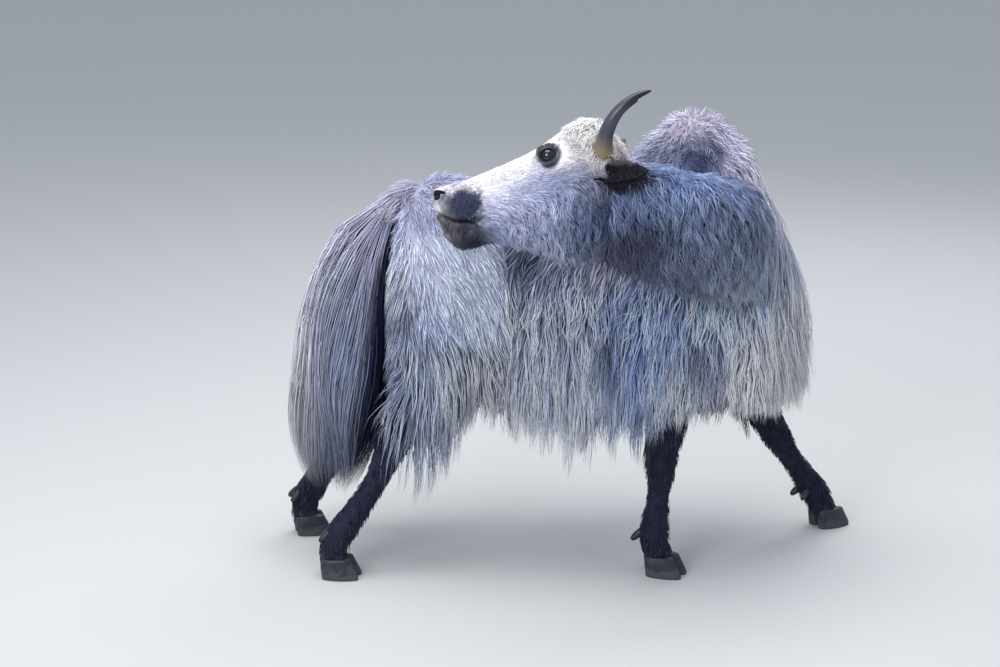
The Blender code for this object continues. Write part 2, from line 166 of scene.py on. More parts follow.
def loft(shape: bmesh.types.BMesh, rings: list) -> None:
    """Adds a closed tube through rings of equal count.

    Args:
        shape: Mesh that the tube is added to.
        rings: Lists of points, each ring in the same order.
    """
    verts = bmesh.ops.create_circle(shape, segments=len(rings[0]), radius=1.0)["verts"]
    edges = list({edge for vert in verts for edge in vert.link_edges})
    first = edges
    place_of = {vert: k for k, vert in enumerate(verts)}
    for vert, k in place_of.items():
        vert.co = rings[0][k]
    for ring in rings[1:]:
        grown = bmesh.ops.extrude_edge_only(shape, edges=edges)["geom"]
        edges = [item for item in grown if isinstance(item, bmesh.types.BMEdge)]
        fresh = {}
        for vert in (item for item in grown if isinstance(item, bmesh.types.BMVert)):
            root = next(e.other_vert(vert) for e in vert.link_edges if e.other_vert(vert) in place_of)
            fresh[vert] = place_of[root]
        for vert, k in fresh.items():
            vert.co = ring[k]
        place_of = fresh
    for end in (first, edges):
        bmesh.ops.contextual_create(shape, geom=end)
    bmesh.ops.recalc_face_normals(shape, faces=shape.faces[:])


def tangent_at(places: list, index: int) -> Vector:
    """Direction of a path at one of its places."""
    ahead = places[min(index + 1, len(places) - 1)]
    behind = places[max(index - 1, 0)]
    return (ahead - behind).normalized()


def level_side(tangent: Vector) -> Vector:
    """Level direction across a path."""
    return tangent.cross(Vector((0.0, 0.0, 1.0))).normalized()


def body_side(tangent: Vector) -> Vector:
    """Direction across a hanging path, nearest to the frame's X axis."""
    left = Vector((1.0, 0.0, 0.0))
    return (left - tangent * left.dot(tangent)).normalized()


def tube_rings(rows: np.ndarray, across, count: int) -> list:
    """Slices square to the path of a tube.

    Args:
        rows: Each x, y, z, the half widths to both sides, then the reach up and down.
        across: Function from the path's direction to the sideways one.
        count: Points in a slice.

    Returns:
        A list of slices, each a list of points.
    """
    places = [Vector(row[:3]) for row in rows]
    rings = []
    for index, row in enumerate(rows):
        tangent = tangent_at(places, index)
        side = across(tangent)
        rise = side.cross(tangent).normalized()
        ring = []
        for k in range(count):
            angle = 2 * math.pi * k / count
            wide = row[3] if math.cos(angle) >= 0 else row[4]
            tall = row[5] if math.sin(angle) >= 0 else row[6]
            ring.append(places[index] + side * (wide * math.cos(angle)) + rise * (tall * math.sin(angle)))
        rings.append(ring)
    return rings


def new_object(name: str, mesh: bpy.types.Mesh) -> bpy.types.Object:
    """Links a mesh to the scene as an object at the origin."""
    obj = bpy.data.objects.new(name, mesh)
    bpy.context.scene.collection.objects.link(obj)
    return obj


def object_from(name: str, shape: bmesh.types.BMesh) -> bpy.types.Object:
    """Makes an object of a finished bmesh and frees it."""
    mesh = bpy.data.meshes.new(name)
    shape.to_mesh(mesh)
    shape.free()
    return new_object(name, mesh)


def baked_mesh(obj: bpy.types.Object) -> bpy.types.Mesh:
    """The object's mesh with its modifiers applied; the object goes."""
    graph = bpy.context.evaluated_depsgraph_get()
    mesh = bpy.data.meshes.new_from_object(obj.evaluated_get(graph))
    bpy.data.objects.remove(obj)
    return mesh


def vertex_array(mesh: bpy.types.Mesh) -> np.ndarray:
    """The places of a mesh's vertices, one for each row."""
    places = np.empty(len(mesh.vertices) * 3, np.float32)
    mesh.vertices.foreach_get("co", places)
    return places.reshape(-1, 3).astype(float)


def normal_array(mesh: bpy.types.Mesh) -> np.ndarray:
    """Directions out of a mesh at its vertices as rows."""
    normals = np.empty(len(mesh.vertices) * 3, np.float32)
    mesh.vertex_normals.foreach_get("vector", normals)
    return normals.reshape(-1, 3)


def mark(mesh: bpy.types.Mesh, name: str, values: np.ndarray) -> None:
    """Stores values for a mesh's vertices under a name.

    Args:
        mesh: The mesh.
        name: The attribute's name.
        values: One number for each vertex, or a row of three for a vector or four for a colour.
    """
    kinds = {1: ("FLOAT", "value"), 3: ("FLOAT_VECTOR", "vector"), 4: ("FLOAT_COLOR", "color")}
    kind, key = kinds[values.size // len(mesh.vertices)]
    made = mesh.attributes.new(name, kind, "POINT")
    made.data.foreach_set(key, values.astype(np.float32).ravel())


def place_piece(obj: bpy.types.Object, slot: str, finish: "Finish", *nodes: str) -> bpy.types.Object:
    """Moves a piece's mesh into the frame, dresses it and hides the CAD nodes that it replaces.

    Args:
        obj: Object whose mesh is still measured from the trunk's line.
        slot: Material slot of the record; not used.
        finish: Finish of the whole piece.
        nodes: CAD nodes that the piece replaces.

    Returns:
        The same object.
    """
    obj.data.transform(Matrix.Translation(OFFSET))
    obj.data.materials.clear()
    obj.data.materials.append(finish.material())
    obj.data.shade_smooth()
    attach(obj, BODY)
    if nodes:
        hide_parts(*nodes)
    obj.data.calc_loop_triangles()
    LOG.info("%s: %d triangles", obj.name, len(obj.data.loop_triangles))
    return obj


# Shader board


def joining(operation: str, swapped: bool = False):
    """Makes one operator of a shader value.

    Args:
        operation: The Math node's operation.
        swapped: Whether the other value comes first.

    Returns:
        The method.
    """
    def method(self: "Wire", other) -> "Wire":
        """Joins two values by one Math node."""
        pair = (other, self) if swapped else (self, other)
        return self.board.node("ShaderNodeMath", {"operation": operation}, dict(enumerate(pair)))

    return method


class Wire:
    """A shader value whose operators add Math nodes."""

    __add__, __radd__ = joining("ADD"), joining("ADD", True)
    __sub__, __rsub__ = joining("SUBTRACT"), joining("SUBTRACT", True)
    __mul__, __rmul__ = joining("MULTIPLY"), joining("MULTIPLY", True)
    __truediv__, __rtruediv__ = joining("DIVIDE"), joining("DIVIDE", True)
    __pow__ = joining("POWER")

    def __init__(self, board: "Board", socket: bpy.types.NodeSocket) -> None:
        """Wraps a socket of the board's tree."""
        self.board = board
        self.socket = socket

    def above(self, start: float, end: float) -> "Wire":
        """Smooth mask that rises from 0 at start to 1 at end."""
        sockets = {"Value": self, "From Min": start, "From Max": end}
        return self.board.node("ShaderNodeMapRange", {"interpolation_type": "SMOOTHSTEP"}, sockets)


class Board:
    """Node tree of one material with its Principled shader."""

    def __init__(self, name: str) -> None:
        """Starts a material with only a shader and an output."""
        self.material = bpy.data.materials.new(name)
        self.material.use_nodes = True
        self.tree = self.material.node_tree
        self.shader = self.tree.nodes["Principled BSDF"]

    def node(self, kind: str, settings: dict, sockets: dict, output=0) -> Wire:
        """Adds a node.

        Args:
            kind: The node's type.
            settings: Properties, set first.
            sockets: Input name or number to a value or a Wire.
            output: Name or number of the output to return.

        Returns:
            The chosen output.
        """
        made = self.tree.nodes.new(kind)
        for key, value in settings.items():
            setattr(made, key, value)
        for key, value in sockets.items():
            self.feed(made.inputs[key], value)
        return Wire(self, made.outputs[output])

    def feed(self, socket: bpy.types.NodeSocket, value) -> None:
        """Sets a socket to a value or links a Wire to it."""
        if isinstance(value, Wire):
            self.tree.links.new(value.socket, socket)
        else:
            socket.default_value = value

    def surface(self, **sockets) -> None:
        """Sets the shader's sockets; an underscore stands for a space."""
        for key, value in sockets.items():
            self.feed(self.shader.inputs[key.replace("_", " ")], value)

    def attribute(self, name: str, output: str) -> Wire:
        """One output of a named attribute."""
        return self.node("ShaderNodeAttribute", {"attribute_name": name}, {}, output)

    def place(self) -> Wire:
        """Object coordinates."""
        return self.node("ShaderNodeTexCoord", {}, {}, "Object")

    def noise(self, vector: Wire, scale: tuple, detail: float = 2.0) -> Wire:
        """Noise of a vector stretched by three scales, from 0 to 1."""
        spread = self.node("ShaderNodeVectorMath", {"operation": "MULTIPLY"}, {0: vector, 1: scale})
        return self.node("ShaderNodeTexNoise", {}, {"Vector": spread, "Scale": 1.0, "Detail": detail}, "Fac")

    def scaled(self, colour: Wire, amount: Wire) -> Wire:
        """A colour made lighter or darker by a value."""
        return self.node("ShaderNodeVectorMath", {"operation": "SCALE"}, {0: colour, "Scale": amount})

    def mixed(self, share: Wire, low, high) -> Wire:
        """A colour between two, by a share from 0 to 1."""
        sockets = {"Factor": share, 6: low, 7: high}
        return self.node("ShaderNodeMix", {"data_type": "RGBA"}, sockets, 2)

    def bump(self, height: Wire, strength: float, distance: float) -> Wire:
        """Normal bent by a height."""
        sockets = {"Height": height, "Strength": strength, "Distance": distance}
        return self.node("ShaderNodeBump", {}, sockets, "Normal")


@dataclass(frozen=True)
class Finish:
    """A finish by name; its material is made once and shared by the pieces that ask for it."""

    name: str

    def material(self) -> bpy.types.Material:
        """The finish's material, painted on the first call."""
        made = bpy.data.materials.get(self.name)
        if made is None:
            board = Board(self.name)
            self.paint(board)
            made = board.material
        return made

    def paint(self, board: Board) -> None:
        """Fills the board; each finish has its own."""
        raise NotImplementedError


@dataclass(frozen=True)
class HairFinish(Finish):
    """Hair of the tufts: their own colours, streaked along each lock."""

    roughness: float = 0.58
    sheen: float = 0.05
    streaks: float = 0.66

    def paint(self, board: Board) -> None:
        """Streaks the tint along the lock and roughens the surface across it."""
        lock = board.attribute("lock", "Vector")
        strands = board.noise(lock, (1400.0, 14.0, 900.0), 3.0)
        shade = 1.0 + (strands - 0.5) * (2.0 * self.streaks)
        colour = board.scaled(board.attribute("tint", "Color"), shade)
        board.surface(
            Base_Color=colour,
            Roughness=self.roughness,
            Sheen_Weight=self.sheen,
            Sheen_Roughness=0.45,
            Specular_IOR_Level=0.14,
            Normal=board.bump(strands, 0.5, 0.0006),
        )


@dataclass(frozen=True)
class SkinFinish(Finish):
    """Short-haired skin with wet and bare places where the attribute says so."""

    dry: float = 0.72
    wet: float = 0.30

    def paint(self, board: Board) -> None:
        """Short hair as fine streaks and pores, smoother where the skin is bare."""
        place = board.place()
        nap = board.noise(place, (420.0, 420.0, 160.0), 4.0)
        grain = board.noise(place, (1500.0, 1500.0, 1500.0), 2.0)
        bare = board.attribute("bare", "Fac")
        shade = 1.0 + (nap - 0.5) * (1.0 - bare * 0.6) * 0.9
        board.surface(
            Base_Color=board.scaled(board.attribute("tint", "Color"), shade),
            Roughness=self.dry - bare * (self.dry - self.wet) + (grain - 0.5) * 0.12,
            Sheen_Weight=0.03,
            Specular_IOR_Level=0.22,
            Normal=board.bump(nap * (1.0 - bare * 0.7) + grain * 0.4, 0.6, 0.0012),
        )


@dataclass(frozen=True)
class HornFinish(Finish):
    """Horn sheath: yellowish and ringed at the root, slate in the middle, dark at the tip."""

    root: tuple = (0.21, 0.165, 0.095, 1.0)
    middle: tuple = (0.040, 0.044, 0.066, 1.0)
    tip: tuple = (0.008, 0.008, 0.012, 1.0)

    def paint(self, board: Board) -> None:
        """Growth rings across the horn and fine fibres along it."""
        course = board.attribute("course", "Vector")
        reach = board.node("ShaderNodeSeparateXYZ", {}, {"Vector": course}, "Z")
        rings = board.noise(course, (0.6, 0.6, 60.0), 3.0)
        fibres = board.noise(course, (7.0, 7.0, 3.0), 4.0)
        shifted = reach + (fibres - 0.5) * 0.10
        body = board.mixed(shifted.above(0.10, 0.36), self.root, self.middle)
        whole = board.mixed(shifted.above(0.50, 0.88), body, self.tip)
        shade = 0.72 + rings * 0.30 + fibres * 0.30
        near_root = 1.0 - reach.above(0.02, 0.40)
        board.surface(
            Base_Color=board.scaled(whole, shade),
            Roughness=0.30 + near_root * 0.22 + (fibres - 0.5) * 0.15,
            Normal=board.bump(rings * (0.25 + near_root * 1.3) + fibres * 0.2, 0.7, 0.0016),
        )


@dataclass(frozen=True)
class HoofFinish(Finish):
    """Dull dark hoof horn with level growth lines and dusty scuffs."""

    dark: tuple = (0.009, 0.010, 0.018, 1.0)
    dusty: tuple = (0.050, 0.050, 0.064, 1.0)

    def paint(self, board: Board) -> None:
        """Growth lines around the hoof, dust towards the sole."""
        place = board.place()
        lines = board.noise(place, (14.0, 14.0, 260.0), 3.0)
        scuffs = board.noise(place, (55.0, 55.0, 90.0), 4.0)
        low = 1.0 - board.node("ShaderNodeSeparateXYZ", {}, {"Vector": place}, "Z").above(0.004, 0.040)
        dust = (scuffs + low * 0.35).above(0.45, 0.85)
        board.surface(
            Base_Color=board.mixed(dust, self.dark, self.dusty),
            Roughness=0.46 + dust * 0.34,
            Normal=board.bump(lines + scuffs * 0.6, 0.6, 0.0012),
        )


@dataclass(frozen=True)
class EyeFinish(Finish):
    """Wet dark eye: brown iris with a level oval pupil, and a smoky white at the corners."""

    white: tuple = (0.05, 0.045, 0.06, 1.0)
    iris: tuple = (0.012, 0.008, 0.011, 1.0)
    pupil: tuple = (0.002, 0.003, 0.010, 1.0)

    def paint(self, board: Board) -> None:
        """Pupil and iris by the distance from the gaze, which the piece carries as an attribute."""
        gaze = board.attribute("gaze", "Vector")
        wide, tall = (board.node("ShaderNodeSeparateXYZ", {}, {"Vector": gaze}, axis) for axis in "XY")
        fibres = board.noise(gaze, (9.0, 9.0, 9.0), 4.0)
        around = (wide * wide + tall * tall) ** 0.5
        oval = (wide * wide * 0.62 + tall * tall * 2.2) ** 0.5
        iris = board.mixed(fibres.above(0.3, 0.8), self.pupil, self.iris)
        whole = board.mixed(around.above(0.68, 0.80), iris, self.white)
        board.surface(
            Base_Color=board.mixed(oval.above(0.36, 0.44), self.pupil, whole),
            Roughness=0.06,
            Specular_IOR_Level=0.35,
            Coat_Weight=0.60,
            Coat_Roughness=0.02,
        )


@dataclass(frozen=True)
class FloorFinish(Finish):
    """Plain pale studio floor."""

    def paint(self, board: Board) -> None:
        """One pale matt colour."""
        board.surface(Base_Color=(0.50, 0.50, 0.51, 1.0), Roughness=0.9)


# Head's own frame


@dataclass(frozen=True)
class HeadFrame:
    """Axes of the head: ahead to the nose, up to the brow, and sideways to the animal's right."""

    middle: tuple = (-0.345, 0.0135, 1.160)
    tilt: float = math.radians(14.0)
    slope: float = math.radians(20.0)

    def axes(self) -> np.ndarray:
        """The three directions as rows: ahead, up, side."""
        left = np.array((0.0, 1.0, 0.0))
        rise = np.array((math.sin(self.tilt), 0.0, math.cos(self.tilt)))
        right = np.array((math.cos(self.tilt), 0.0, -math.sin(self.tilt)))
        ahead = left * math.cos(self.slope) - rise * math.sin(self.slope)
        crown = left * math.sin(self.slope) + rise * math.cos(self.slope)
        return np.array((ahead, crown, right))

    def point(self, ahead: float, up: float, side: float) -> Vector:
        """A place given along the head's axes."""
        return Vector(np.array(self.middle) + np.array((ahead, up, side)) @ self.axes())

    def out_of(self, local: np.ndarray) -> np.ndarray:
        """Places from the head's axes to the trunk's."""
        return local @ self.axes() + np.array(self.middle)

    def into(self, places: np.ndarray) -> np.ndarray:
        """Places along the head's axes."""
        return (places - np.array(self.middle)) @ self.axes().T

    def direction(self, ahead: float, up: float, side: float) -> np.ndarray:
        """A direction given along the head's axes, of length 1."""
        return unit(np.array((ahead, up, side)) @ self.axes())


HEAD = HeadFrame()


def mouth_line(ahead: np.ndarray) -> np.ndarray:
    """Height of the line between the lips, seen from the side."""
    behind = 0.310 - ahead
    return -0.041 - behind * 0.69 - 0.009 * bell(behind - 0.034, 0.022)


def nostril_share(local: np.ndarray, side: float) -> np.ndarray:
    """Distance from the middle of a nostril as a share of its comma shape.

    Args:
        local: Places along the head's axes.
        side: Which nostril, -1 or 1.

    Returns:
        1 at the comma's edge, less inside.
    """
    found = np.full(len(local), 9.0)
    for ahead, up, sizes in ((0.2985, 0.0030, (0.0095, 0.0100)), (0.2890, 0.0075, (0.0140, 0.0052))):
        arm = local - np.array((ahead, up, side * 0.040))
        slant = arm[:, 0] * 0.90 + arm[:, 1] * 0.43
        tall = -arm[:, 0] * 0.43 + arm[:, 1] * 0.90
        share = np.sqrt((slant / sizes[0]) ** 2 + (tall / sizes[1]) ** 2 + (arm[:, 2] / 0.018) ** 2)
        found = np.minimum(found, share)
    return found


@dataclass
class EyeSocket:
    """Place of an eye and of the lids round it, in the head's frame."""

    hand: Hand
    radius: float = 0.0205
    side: float = 0.069
    half_width: float = 0.0172
    half_height: float = 0.0134

    def centre(self) -> np.ndarray:
        """Middle of the eyeball along the head's axes."""
        return np.array((0.0, 0.0, self.hand.value * self.side))

    def axes(self) -> tuple:
        """Gaze, width and height directions along the head's axes."""
        gaze = unit(np.array((0.16, 0.10, self.hand.value * 1.0)))
        width = unit(np.array((1.0, -0.10, 0.0)) - gaze * np.dot((1.0, -0.10, 0.0), gaze))
        height = np.cross(gaze, width)
        if height[1] < 0:
            height = -height
        return gaze, width, height

    def round_opening(self, local: np.ndarray) -> tuple:
        """Where points lie round the lid opening.

        Args:
            local: Places along the head's axes.

        Returns:
            Share of the opening's half size, height share, distance from the ball's middle, and the
            direction from it.
        """
        gaze, width, height = self.axes()
        arm = local - self.centre()
        reach = np.linalg.norm(arm, axis=1)
        line = arm / np.maximum(reach, 1e-9)[:, None]
        spread = np.maximum(self.radius, reach * 0.84)
        across = line @ width * spread / self.half_width
        tall = line @ height * spread / self.half_height
        share = np.sqrt(across ** 2 + tall ** 2)
        share = np.where(line @ gaze > 0.05, share, 9.0)
        return share, tall, reach, line

    def ring(self, local: np.ndarray) -> np.ndarray:
        """Distance from the eye as a share of the dark ring round it."""
        _, width, height = self.axes()
        arm = local - self.centre()
        outer = np.where(arm @ self.axes()[0] > 0, 0.0, 9.0)
        return np.sqrt((arm @ width / 0.034) ** 2 + ((arm @ height - 0.003) / 0.039) ** 2) + outer

    def shape_lids(self, local: np.ndarray) -> np.ndarray:
        """Lays the skin over the ball as lids, with a crease above and a fold below.

        Args:
            local: Places along the head's axes.

        Returns:
            The places moved.
        """
        share, tall, reach, line = self.round_opening(local)
        lid = self.radius + 0.0030
        rim = ramp(share, 0.93, 1.04)
        height = (self.radius - 0.0045) * (1 - rim) + lid * rim
        height = height + 0.0010 * bell(share - 1.12, 0.12)
        upper = ramp(tall, 0.1, 0.6)
        height = height - 0.0024 * bell(share - 1.62, 0.16) * (0.35 + 0.65 * upper)
        height = height + 0.0026 * bell(share - 2.05, 0.26) * (0.4 + 0.6 * upper)
        height = height + 0.0030 * ramp(share, 1.8, 2.8)
        weight = 1.0 - ramp(share, 1.8, 2.9)
        near = (reach < 0.060) & (share < 5.0)
        weight = np.where(near, weight, 0.0)[:, None]
        target = self.centre() + line * height[:, None]
        return local * (1 - weight) + target * weight


def thigh_fold(height: np.ndarray) -> np.ndarray:
    """Where the fold before the thigh runs along the trunk, at given heights."""
    return 0.069 + (0.80 - height) * 0.186


# Skin


@dataclass
class Skin:
    """The closed skin of the whole animal, without eyes, horns and hooves."""

    body_voxel: float = 0.0100
    head_voxel: float = 0.0036
    limb_line: float = 0.50
    trunk: tuple = (
        (0.412, 0.032, 0.09, 0.895, 0.7, 0.52),
        (0.392, 0.03, 0.16, 0.965, 0.7, 0.5),
        (0.345, 0.028, 0.198, 1.015, 0.7, 0.49),
        (0.27, 0.03, 0.214, 1.038, 0.7, 0.5),
        (0.17, 0.038, 0.225, 1.004, 0.7, 0.5),
        (0.05, 0.045, 0.244, 1.0, 0.69, 0.47),
        (-0.08, 0.045, 0.254, 1.01, 0.68, 0.455),
        (-0.19, 0.03, 0.25, 1.056, 0.68, 0.46),
        (-0.27, 0.008, 0.244, 1.142, 0.68, 0.47),
        (-0.335, -0.012, 0.236, 1.206, 0.68, 0.475),
        (-0.415, -0.042, 0.226, 1.21, 0.68, 0.48),
        (-0.48, -0.075, 0.212, 1.132, 0.67, 0.48),
        (-0.54, -0.112, 0.188, 0.985, 0.65, 0.48),
        (-0.58, -0.145, 0.14, 0.85, 0.62, 0.49),
        (-0.596, -0.155, 0.08, 0.75, 0.6, 0.52),
    )
    neck: tuple = (
        (-0.06, -0.395, 0.9, 0.09, 0.095, 0.115, 0.13),
        (-0.15, -0.44, 0.915, 0.09, 0.105, 0.125, 0.13),
        (-0.255, -0.452, 0.95, 0.085, 0.1, 0.12, 0.12),
        (-0.345, -0.405, 0.985, 0.08, 0.09, 0.112, 0.115),
        (-0.388, -0.325, 1.012, 0.075, 0.08, 0.105, 0.115),
        (-0.392, -0.24, 1.04, 0.07, 0.075, 0.098, 0.12),
        (-0.375, -0.16, 1.062, 0.065, 0.072, 0.085, 0.12),
        (-0.362, -0.1, 1.075, 0.06, 0.065, 0.075, 0.11),
    )
    tail: tuple = (
        (0.02, 0.35, 1.0, 0.03, 0.03, 0.03, 0.03),
        (0.012, 0.42, 0.962, 0.027, 0.027, 0.027, 0.027),
        (-0.002, 0.5, 0.86, 0.022, 0.022, 0.022, 0.022),
        (-0.013, 0.545, 0.72, 0.016, 0.016, 0.016, 0.016),
        (-0.018, 0.56, 0.6, 0.009, 0.009, 0.009, 0.009),
    )
    legs: tuple = (
        (
            (-0.13, -0.35, 0.76, 0.085, 1.2), (-0.15, -0.335, 0.65, 0.075, 1.2),
            (-0.165, -0.32, 0.54, 0.06, 1.1), (-0.176, -0.312, 0.43, 0.047, 1.05),
            (-0.188, -0.297, 0.33, 0.039, 1.05), (-0.191, -0.294, 0.295, 0.038, 1.05),
            (-0.196, -0.288, 0.21, 0.027, 1.05), (-0.2, -0.276, 0.118, 0.035, 1.12),
            (-0.203, -0.284, 0.078, 0.031, 1.1), (-0.205, -0.29, 0.044, 0.034, 1.1),
        ),
        (
            (0.06, -0.44, 0.76, 0.085, 1.2), (0.062, -0.48, 0.65, 0.075, 1.2),
            (0.07, -0.53, 0.54, 0.06, 1.1), (0.1, -0.568, 0.42, 0.047, 1.05),
            (0.132, -0.616, 0.318, 0.039, 1.05), (0.142, -0.634, 0.288, 0.038, 1.05),
            (0.17, -0.686, 0.205, 0.027, 1.05), (0.198, -0.744, 0.118, 0.035, 1.12),
            (0.21, -0.768, 0.078, 0.031, 1.1), (0.216, -0.778, 0.044, 0.034, 1.1),
        ),
        (
            (-0.09, 0.265, 0.8, 0.1, 1.25), (-0.105, 0.28, 0.68, 0.088, 1.25),
            (-0.12, 0.3, 0.56, 0.062, 1.2), (-0.138, 0.35, 0.46, 0.047, 1.2),
            (-0.16, 0.405, 0.375, 0.035, 1.35), (-0.166, 0.424, 0.345, 0.033, 1.35),
            (-0.188, 0.474, 0.24, 0.027, 1.1), (-0.212, 0.56, 0.12, 0.035, 1.12),
            (-0.221, 0.582, 0.078, 0.031, 1.1), (-0.225, 0.58, 0.044, 0.034, 1.1),
        ),
        (
            (0.135, 0.265, 0.8, 0.1, 1.25), (0.142, 0.285, 0.68, 0.088, 1.25),
            (0.15, 0.31, 0.56, 0.062, 1.2), (0.168, 0.4, 0.48, 0.047, 1.2),
            (0.177, 0.49, 0.392, 0.035, 1.35), (0.178, 0.512, 0.362, 0.033, 1.35),
            (0.174, 0.58, 0.25, 0.027, 1.1), (0.162, 0.67, 0.12, 0.035, 1.12),
            (0.156, 0.682, 0.078, 0.031, 1.1), (0.154, 0.68, 0.044, 0.034, 1.1),
        ),
    )
    muscles: tuple = (
        ((0.185, 0.29, 0.74), (0.055, 0.115, 0.19)), ((-0.12, 0.29, 0.74), (0.055, 0.115, 0.19)),
        ((0.15, 0.225, 0.935), (0.055, 0.06, 0.045)), ((-0.09, 0.225, 0.935), (0.055, 0.06, 0.045)),
        ((0.16, -0.33, 0.83), (0.055, 0.11, 0.2)), ((-0.185, -0.33, 0.83), (0.055, 0.11, 0.2)),
    )
    head: tuple = (
        (0.315, -0.016, 0.019, -0.048, 0.028, 0.021, -0.1),
        (0.304, 0.006, 0.034, -0.046, 0.046, 0.034, -0.122),
        (0.282, 0.017, 0.04, -0.05, 0.056, 0.041, -0.138),
        (0.25, 0.015, 0.039, -0.055, 0.058, 0.042, -0.149),
        (0.215, 0.012, 0.034, -0.06, 0.053, 0.04, -0.152),
        (0.165, 0.014, 0.032, -0.07, 0.053, 0.038, -0.162),
        (0.11, 0.016, 0.036, -0.078, 0.061, 0.04, -0.18),
        (0.055, 0.019, 0.046, -0.08, 0.073, 0.046, -0.2),
        (0.01, 0.025, 0.06, -0.072, 0.083, 0.052, -0.213),
        (-0.035, 0.037, 0.07, -0.07, 0.089, 0.056, -0.22),
        (-0.08, 0.044, 0.074, -0.075, 0.088, 0.058, -0.215),
        (-0.12, 0.034, 0.07, -0.08, 0.08, 0.05, -0.195),
        (-0.155, 0.006, 0.05, -0.085, 0.066, 0.042, -0.172),
        (-0.176, -0.03, 0.028, -0.085, 0.036, 0.026, -0.14),
    )
    lumps: tuple = (
        ((0.0, 0.002, 0.066), (0.034, 0.028, 0.025)), ((0.004, 0.021, 0.072), (0.026, 0.011, 0.015)),
        ((-0.035, -0.115, 0.062), (0.085, 0.072, 0.022)), ((0.045, -0.04, 0.054), (0.075, 0.022, 0.018)),
        ((0.288, 0.003, 0.036), (0.021, 0.018, 0.018)), ((0.285, -0.04, 0.032), (0.027, 0.026, 0.03)),
        ((0.266, -0.122, 0.012), (0.03, 0.022, 0.026)), ((-0.128, -0.046, 0.062), (0.028, 0.028, 0.022)),
        ((-0.105, 0.028, 0.026), (0.05, 0.02, 0.044)),
    )
    ear_root: tuple = (-0.098, -0.078, 0.080)
    ear_reach: tuple = (-0.114, 0.088)
    ear_length: float = 0.168
    ear_half_width: float = 0.033
    ear_wall: float = 0.0095
    sources: dict = field(default_factory=dict)

    def trunk_rings(self) -> list:
        """Upright slices of the trunk.

        Returns:
            The slices, each a list of places.
        """
        rows = smooth_rows(self.trunk, 3)
        places = [Vector((row[1], row[0], 0.0)) for row in rows]
        rings = []
        for index, row in enumerate(rows):
            tangent = tangent_at(places, index)
            side = Vector((-tangent.y, tangent.x, 0.0)).normalized()
            ring = []
            for k in range(40):
                angle = 2 * math.pi * k / 40
                above = math.sin(angle) >= 0
                across = row[2] * signed_power(math.cos(angle), 0.92 if above else 0.75)
                reach = row[3] - row[4] if above else row[4] - row[5]
                height = row[4] + reach * signed_power(math.sin(angle), 0.92 if above else 0.75)
                ring.append(places[index] + side * across + Vector((0.0, 0.0, height)))
            rings.append(ring)
        return rings

    def head_rings(self) -> list:
        """Slices of the head, each a closed smooth curve through eight places.

        Returns:
            The slices, each a list of places.
        """
        rings = []
        for row in smooth_rows(self.head, 3):
            ahead, top, half_top, middle, half_middle, half_jaw, bottom = row
            brow = top - 0.10 * (top - middle)
            jaw = bottom + 0.20 * (middle - bottom)
            outline = [(0.0, top), (half_top, brow), (half_middle, middle), (half_jaw, jaw), (0.0, bottom)]
            outline += [(-side, up) for side, up in outline[3:0:-1]]
            wrapped = smooth_rows(tuple(outline[-1:] + outline + outline[:2]), 6)[6:-6]
            rings.append([HEAD.point(ahead, up, side) for side, up in wrapped[:48]])
        return rings

    def ear_axes(self, hand: Hand) -> tuple:
        """Root, length direction, width direction and the side that the ear opens to.

        Args:
            hand: Which ear.

        Returns:
            The root's place and three directions.
        """
        ahead, up, out = self.ear_root
        back, outward = self.ear_reach
        droop = 0.050 if hand is Hand.LEFT else -0.060
        root = HEAD.point(ahead, up, hand.value * out)
        tip = HEAD.point(ahead + back, up - droop, hand.value * (out + outward))
        along = (tip - root).normalized()
        edge = Vector(HEAD.direction(0.3, -0.9, hand.value * 0.4))
        flat = along.cross(edge).normalized()
        width = flat.cross(along).normalized()
        opening = Vector(HEAD.direction(0.8, -0.2, hand.value * 0.6))
        if flat.dot(opening) < 0:
            flat = -flat
        return root, along, width, flat

    def ear_rings(self, hand: Hand) -> list:
        """Cupped slices of one ear, from inside the head to the tip.

        Args:
            hand: Which ear.

        Returns:
            The slices, each a list of places.
        """
        root, along, width, flat = self.ear_axes(hand)
        rings = []
        steps = 16
        for index in range(steps + 1):
            t = index / steps
            half = self.ear_half_width * (0.30 + 0.70 * math.sin(math.pi * min(0.16 + 0.80 * t, 0.5)))
            half *= max(1.0 - t ** 2.6, 0.01) ** 0.62
            cup = 0.55 * half * (1.0 - 0.4 * t)
            centre = root + along * (self.ear_length * t - 0.012)
            ring = []
            for wall, order in ((self.ear_wall, range(10)), (0.0, range(9, -1, -1))):
                for k in order:
                    angle = math.pi * (k / 9.0)
                    back = -cup * math.sin(angle) - wall * (0.35 + 0.65 * math.sin(angle))
                    ring.append(centre + width * (half * math.cos(angle)) + flat * (back + self.ear_wall))
            rings.append(ring)
        return rings

    def add_lump(self, shape: bmesh.types.BMesh, centre: Vector, axes: np.ndarray, sizes: tuple) -> None:
        """Adds an egg-shaped bulge.

        Args:
            shape: Mesh that gets it.
            centre: Its middle.
            axes: Three directions as rows.
            sizes: Half sizes along them.
        """
        turn = Matrix([list(axis * size) for axis, size in zip(axes, sizes)]).transposed().to_4x4()
        matrix = Matrix.Translation(centre) @ turn
        made = bmesh.ops.create_icosphere(shape, subdivisions=3, radius=1.0, matrix=matrix)["verts"]
        faces = list({face for vert in made for face in vert.link_faces})
        bmesh.ops.recalc_face_normals(shape, faces=faces)

